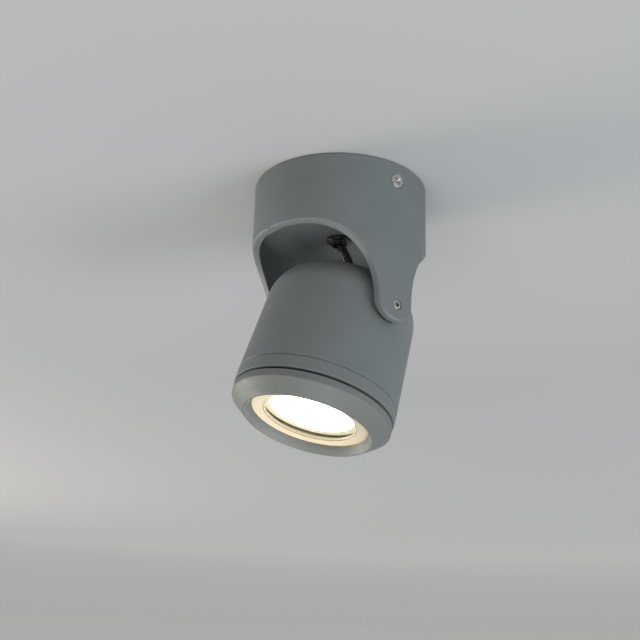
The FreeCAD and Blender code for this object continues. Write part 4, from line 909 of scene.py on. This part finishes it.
SILICONE = (0.58, 0.54, 0.43)
silicone = finish("pale_silicone", SILICONE, 0.42)
mottle(silicone, (0.55, 0.51, 0.40), (0.60, 0.57, 0.46), 120)
bumped(silicone, 0.02, noise(silicone, 1500, 2), 0.3)

# painted light: the lamp's light through the seal is painted on as a glow, brighter on one side
make, link, shader = tools_of(silicone)
SEAL_GLOW = 0.5
shader.inputs["Emission Strength"].default_value = SEAL_GLOW
across = make("ShaderNodeSeparateXYZ")
link(make("ShaderNodeTexCoord").outputs["Object"], across.inputs["Vector"])
glow = make("ShaderNodeMapRange")
glow.inputs["From Min"].default_value = -RING_THROAT * MM
glow.inputs["From Max"].default_value = RING_THROAT * MM
link(across.outputs["X"], glow.inputs["Value"])
painted_lamp_glow = make("ShaderNodeValToRGB")
painted_lamp_glow.color_ramp.elements[0].color = (1.0, 0.76, 0.44, 1)
painted_lamp_glow.color_ramp.elements[1].color = (0.03, 0.03, 0.01, 1)
middle = painted_lamp_glow.color_ramp.elements.new(0.55)
middle.color = (0.55, 0.40, 0.20, 1)
link(glow.outputs["Result"], painted_lamp_glow.inputs["Fac"])

# painted shade: the wall of its hole is painted darker than its face, and gets no glow
WALL_BLEND = 0.4
WALL_SHADE_TONE = (0.15, 0.12, 0.07, 1)
DARK = (0, 0, 0, 1)
wall_end = SEAL_HOLE + 0.1
on_face = make("ShaderNodeMapRange")
on_face.inputs["From Min"].default_value = wall_end * MM
on_face.inputs["From Max"].default_value = (wall_end + WALL_BLEND) * MM
link(head_radius(silicone)[0], on_face.inputs["Value"])
own_colour = shader.inputs["Base Color"].links[0].from_socket
for socket, face, wall in (("Emission Color", painted_lamp_glow.outputs["Color"], DARK),
                           ("Base Color", own_colour, WALL_SHADE_TONE)):
    tint = make("ShaderNodeMix")
    tint.data_type = "RGBA"
    link(on_face.outputs["Result"], tint.inputs["Factor"])
    tint.inputs[MIX_FIRST].default_value = wall
    link(face, tint.inputs[MIX_SECOND])
    link(tint.outputs[MIX_RESULT], shader.inputs[socket])


def moulded(name, colour, roughness, grain=1800):
    """A moulded piece with a slight drift of tone and a fine skin."""
    material = finish(name, colour, roughness)
    mottle(material, [part * 0.9 for part in colour], [min(part * 1.06, 1) for part in colour], 250)
    uneven_gloss(material, roughness * 0.85, roughness * 1.15, 600)
    return bumped(material, 0.01, noise(material, grain, 2), 0.3)


nylon = moulded("natural_nylon", (0.78, 0.77, 0.71), 0.5)
# near black nylon, painted as the shade in the gap at the pivots
shade_dark_nylon = moulded("nylon_painted_as_shade", (0.03, 0.03, 0.032), 0.5)
lamp_body = moulded("lamp_body", (0.80, 0.76, 0.68), 0.3)
rim_glow_shader = tools_of(lamp_body)[2]
# painted light: the lamp's shell and rim get a faint warm glow, standing in for the lens's light on them
rim_glow_shader.inputs["Emission Color"].default_value = (1, 0.84, 0.62, 1)
rim_glow_shader.inputs["Emission Strength"].default_value = 0.28
board = moulded("white_board", (0.72, 0.74, 0.71), 0.55)
phosphor = moulded("led_phosphor", (0.85, 0.70, 0.18), 0.4)
ceramic = moulded("cream_ceramic", (0.78, 0.75, 0.67), 0.35, 900)
brown = moulded("brown_core", (0.13, 0.055, 0.025), 0.35)
blue = moulded("blue_core", (0.03, 0.11, 0.42), 0.35)

striped = finish("green_yellow_core", (0.12, 0.36, 0.05), 0.35)
make, link, shader = tools_of(striped)
stripes = make("ShaderNodeTexWave")
stripes.bands_direction = "DIAGONAL"
stripes.inputs["Scale"].default_value = 90
stripes.inputs["Distortion"].default_value = 0.3
link(make("ShaderNodeTexCoord").outputs["Object"], stripes.inputs["Vector"])
halves = make("ShaderNodeValToRGB")
halves.color_ramp.interpolation = "CONSTANT"
halves.color_ramp.elements[0].color = (0.10, 0.34, 0.05, 1)
halves.color_ramp.elements[1].color = (0.78, 0.66, 0.04, 1)
halves.color_ramp.elements[1].position = 0.55
link(stripes.outputs["Fac"], halves.inputs["Fac"])
link(halves.outputs["Color"], shader.inputs["Base Color"])

# %% [markdown]
# ### Glass and the lit lamp
# The glass is clear and flat, so it only needs to let light through and mirror a little: a
# Transparent and a Glossy shader, mixed by Fresnel. The lens is lit from behind. It glows nearly
# white all over, and at four places a faint yellow mark shows.

# %% Mix the glass
glass = bpy.data.materials.new("clear_glass")
glass.use_nodes = True
make, link = glass.node_tree.nodes.new, glass.node_tree.links.new
glass.node_tree.nodes.remove(glass.node_tree.nodes["Principled BSDF"])
through = make("ShaderNodeBsdfTransparent")
through.inputs["Color"].default_value = (0.97, 0.985, 0.975, 1)
mirror_part = make("ShaderNodeBsdfGlossy")
mirror_part.inputs["Roughness"].default_value = 0.03
edge_on = make("ShaderNodeFresnel")
edge_on.inputs["IOR"].default_value = 1.45
blend_glass = make("ShaderNodeMixShader")
link(edge_on.outputs["Fac"], blend_glass.inputs["Fac"])
link(through.outputs["BSDF"], blend_glass.inputs[1])
link(mirror_part.outputs["BSDF"], blend_glass.inputs[2])
# from inside the pane light goes straight out, because it was not bent on its way in
back_side = make("ShaderNodeNewGeometry")
clear_inside = make("ShaderNodeMixShader")
link(back_side.outputs["Backfacing"], clear_inside.inputs["Fac"])
link(blend_glass.outputs["Shader"], clear_inside.inputs[1])
link(through.outputs["BSDF"], clear_inside.inputs[2])
link(clear_inside.outputs["Shader"], glass.node_tree.nodes["Material Output"].inputs["Surface"])

# %% Mix the lit lens
MARKS = [(-5.3, -13.4), (5.9, 5.0), (8.4, 0.4), (-8.5, 8.2)]
MARK_REACH = 4.35
MARK_WOBBLE = 3.5
GLOW = 10.0
lens_light = finish("lit_lens", (0.35, 0.34, 0.30), 0.25)
make, link, shader = tools_of(lens_light)
shader.inputs["Emission Strength"].default_value = GLOW
nearest = None
for across, along in MARKS:
    apart = make("ShaderNodeVectorMath")
    apart.operation = "DISTANCE"
    apart.inputs[1].default_value = HEAD @ (Vector((across, along, LAMP_FACE)) * MM)
    link(make("ShaderNodeTexCoord").outputs["Object"], apart.inputs[0])
    if nearest is None:
        nearest = apart.outputs["Value"]
        continue
    least = make("ShaderNodeMath")
    least.operation = "MINIMUM"
    link(nearest, least.inputs[0])
    link(apart.outputs["Value"], least.inputs[1])
    nearest = least.outputs["Value"]
wobble = make("ShaderNodeMath")
wobble.operation = "MULTIPLY_ADD"
wobble.inputs[1].default_value = MARK_WOBBLE * MM
link(noise(lens_light, 700, 2), wobble.inputs[0])
link(nearest, wobble.inputs[2])
scaled = make("ShaderNodeMath")
scaled.operation = "MULTIPLY"
scaled.inputs[1].default_value = 1 / (MARK_REACH * MM)
link(wobble.outputs["Value"], scaled.inputs[0])
mark = make("ShaderNodeValToRGB")
mark.color_ramp.elements[0].position = 0.30
mark.color_ramp.elements[0].color = (0.070, 0.068, 0.050, 1)
mark.color_ramp.elements[1].position = 0.90
mark.color_ramp.elements[1].color = (1.0, 0.96, 0.84, 1)
MARK_TONES = {
    0.42: (0.12, 0.11, 0.09, 1),
    0.56: (0.066, 0.064, 0.044, 1),
    0.70: (0.080, 0.078, 0.060, 1),
}
for position, colour in MARK_TONES.items():
    mark.color_ramp.elements.new(position).color = colour
link(scaled.outputs["Value"], mark.inputs["Fac"])
link(mark.outputs["Color"], shader.inputs["Emission Color"])

# %% [markdown]
# ### Give every piece its finish
# The record says which finish each solid has, so one loop dresses the solids that are kept, and
# the new pieces alike.

# %% Paint everything
FINISHES = {
    "painted_grey": coat, "ring_satin": ring_coat, "zinc_steel": zinc, "stainless": stainless,
    "black_rubber": rubber, "clamp_ring_metal": bare_aluminium, "white_nylon": nylon,
    "brass": brass, "tinned_copper": tinned, "green_yellow_core": striped, "brown_core": brown,
    "blue_core": blue, "clear_glass": glass, "silicone_white": silicone, "lamp_white": lamp_body,
    "lamp_lens": lens_light, "led_board": board, "led_chip": phosphor, "ceramic": ceramic,
}
slot_of = {part["node"]: part["material_slot"] for part in frame["record"]["subparts"]}
for name, solid in frame["nodes"].items():
    solid.data.materials.clear()
    solid.data.materials.append(FINISHES[slot_of[name]])

# painted shade: the washers sit in a narrow, shaded gap, so they are painted near black in place of white nylon
frame["nodes"]["friction_washers"].data.materials[0] = shade_dark_nylon
for piece in (canopy, head, ring, seal, bush, cable, side_screw, grub, lamp_shell, lens):
    piece.data.materials.clear()
    piece.data.materials.append(FINISHES[piece["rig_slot"]])

# %% [markdown]
# ## The stage
# The light hangs on a pale ceiling, with a pale floor far below. The ceiling is seen from its
# lower side only, so that a view from above still shows the light. Far from the light its colour
# is painted paler, to make up for the lamps' light that reaches it less there. The floor is there
# for the camera alone, so that it doesn't keep the world's light from the ceiling.

# %% Ceiling and floor
NEAR_REACH = 0.4
FAR_REACH = 2.4
SHEET_ROUGHNESS = 0.9


def sheet(name, level, facing, colour, far_colour, size):
    """A large sheet with one tone near the light and one far off; it shows on one side only."""
    bpy.ops.object.select_all(action="DESELECT")
    bpy.ops.mesh.primitive_plane_add(size=size, location=(0, 0, level))
    plane = bpy.context.object
    plane.name = name
    if facing < 0:
        plane.data.flip_normals()
    material = finish(name, colour, SHEET_ROUGHNESS)
    make, link, shader = tools_of(material)
    reach = make("ShaderNodeVectorMath")
    reach.operation = "LENGTH"
    link(make("ShaderNodeTexCoord").outputs["Object"], reach.inputs[0])
    # painted light: the colour can turn paler away from the fitting, to make up for the lamps' light that reaches
    # the ceiling less there
    away = make("ShaderNodeMapRange")
    away.inputs["From Min"].default_value = NEAR_REACH
    away.inputs["From Max"].default_value = FAR_REACH
    link(reach.outputs["Value"], away.inputs["Value"])
    tone = make("ShaderNodeValToRGB")
    tone.color_ramp.elements[0].color = (*colour, 1)
    tone.color_ramp.elements[1].color = (*far_colour, 1)
    link(away.outputs["Result"], tone.inputs["Fac"])
    link(tone.outputs["Color"], shader.inputs["Base Color"])
    clear = make("ShaderNodeBsdfTransparent")
    backs = make("ShaderNodeNewGeometry")
    clear_back = make("ShaderNodeMixShader")
    link(backs.outputs["Backfacing"], clear_back.inputs["Fac"])
    link(shader.outputs["BSDF"], clear_back.inputs[1])
    link(clear.outputs["BSDF"], clear_back.inputs[2])
    surface = clear_back.outputs["Shader"]
    # the floor is clear to all but the camera
    if facing > 0:
        rays = make("ShaderNodeLightPath")
        seen = make("ShaderNodeMixShader")
        link(rays.outputs["Is Camera Ray"], seen.inputs["Fac"])
        link(clear.outputs["BSDF"], seen.inputs[1])
        link(surface, seen.inputs[2])
        surface = seen.outputs["Shader"]
    link(surface, material.node_tree.nodes["Material Output"].inputs["Surface"])
    plane.data.materials.append(material)
    return plane


CEILING_LEVEL = 0.0003
FLOOR_LEVEL = -2.2
SHEET_SIZE = 80.0
CEILING_COLOUR = (0.440, 0.444, 0.446)
CEILING_AWAY = (0.84, 0.83, 0.80)
FLOOR_COLOUR = (0.56, 0.555, 0.545)
sheet("ceiling", CEILING_LEVEL, -1, CEILING_COLOUR, CEILING_AWAY, SHEET_SIZE)
sheet("floor", FLOOR_LEVEL, 1, FLOOR_COLOUR, FLOOR_COLOUR, SHEET_SIZE)

# %% [markdown]
# ## Light
# An even world lights everything softly. A large warm lamp on the left and a cool one on the right
# make the two soft shadows on the ceiling. A third lamp, low and near the camera, lifts the side
# that faces it.

# %% Set the lamps
def soft_lamp(name, place, size, power, colour):
    """A large square lamp that looks at the light fitting."""
    bpy.ops.object.select_all(action="DESELECT")
    bpy.ops.object.light_add(type="AREA", location=place)
    lamp = bpy.context.object
    lamp.name = name
    lamp.data.size = size
    lamp.data.energy = power
    lamp.data.color = colour
    lamp.rotation_mode = "QUATERNION"
    lamp.rotation_quaternion = (pivot - Vector(place)).to_track_quat("-Z", "Y")
    return lamp


soft_lamp("key", (-1.55, -0.85, -0.55), 0.9, 16.0, (1.0, 0.93, 0.83))
soft_lamp("fill", (1.6, 0.6, -1.1), 1.1, 18.0, (0.87, 0.95, 1.0))
soft_lamp("low", (0.6, -0.8, -1.6), 1.4, 12.0, (1.0, 0.99, 0.97))

# %% Light the world evenly
WORLD_COLOUR = (0.95, 0.97, 1.0, 1)
WORLD_STRENGTH = 0.5
world = bpy.data.worlds.new("even_world")
bpy.context.scene.world = world
world.use_nodes = True
even_light = world.node_tree.nodes["Background"]
even_light.inputs["Strength"].default_value = WORLD_STRENGTH

# seen directly or mirrored, the world has the tone of the far ceiling, so no horizon shows
HORIZON_COLOUR = (0.82, 0.82, 0.81, 1)
make, link = world.node_tree.nodes.new, world.node_tree.links.new
rays = make("ShaderNodeLightPath")
seen = rays.outputs["Is Camera Ray"]
for kind in ("Is Glossy Ray", "Is Transmission Ray"):
    either = make("ShaderNodeMath")
    either.operation = "ADD"
    either.use_clamp = True
    link(seen, either.inputs[0])
    link(rays.outputs[kind], either.inputs[1])
    seen = either.outputs["Value"]
world_tone = make("ShaderNodeMix")
world_tone.data_type = "RGBA"
world_tone.inputs[MIX_FIRST].default_value = WORLD_COLOUR
world_tone.inputs[MIX_SECOND].default_value = HORIZON_COLOUR
link(seen, world_tone.inputs["Factor"])
link(world_tone.outputs[MIX_RESULT], even_light.inputs["Color"])
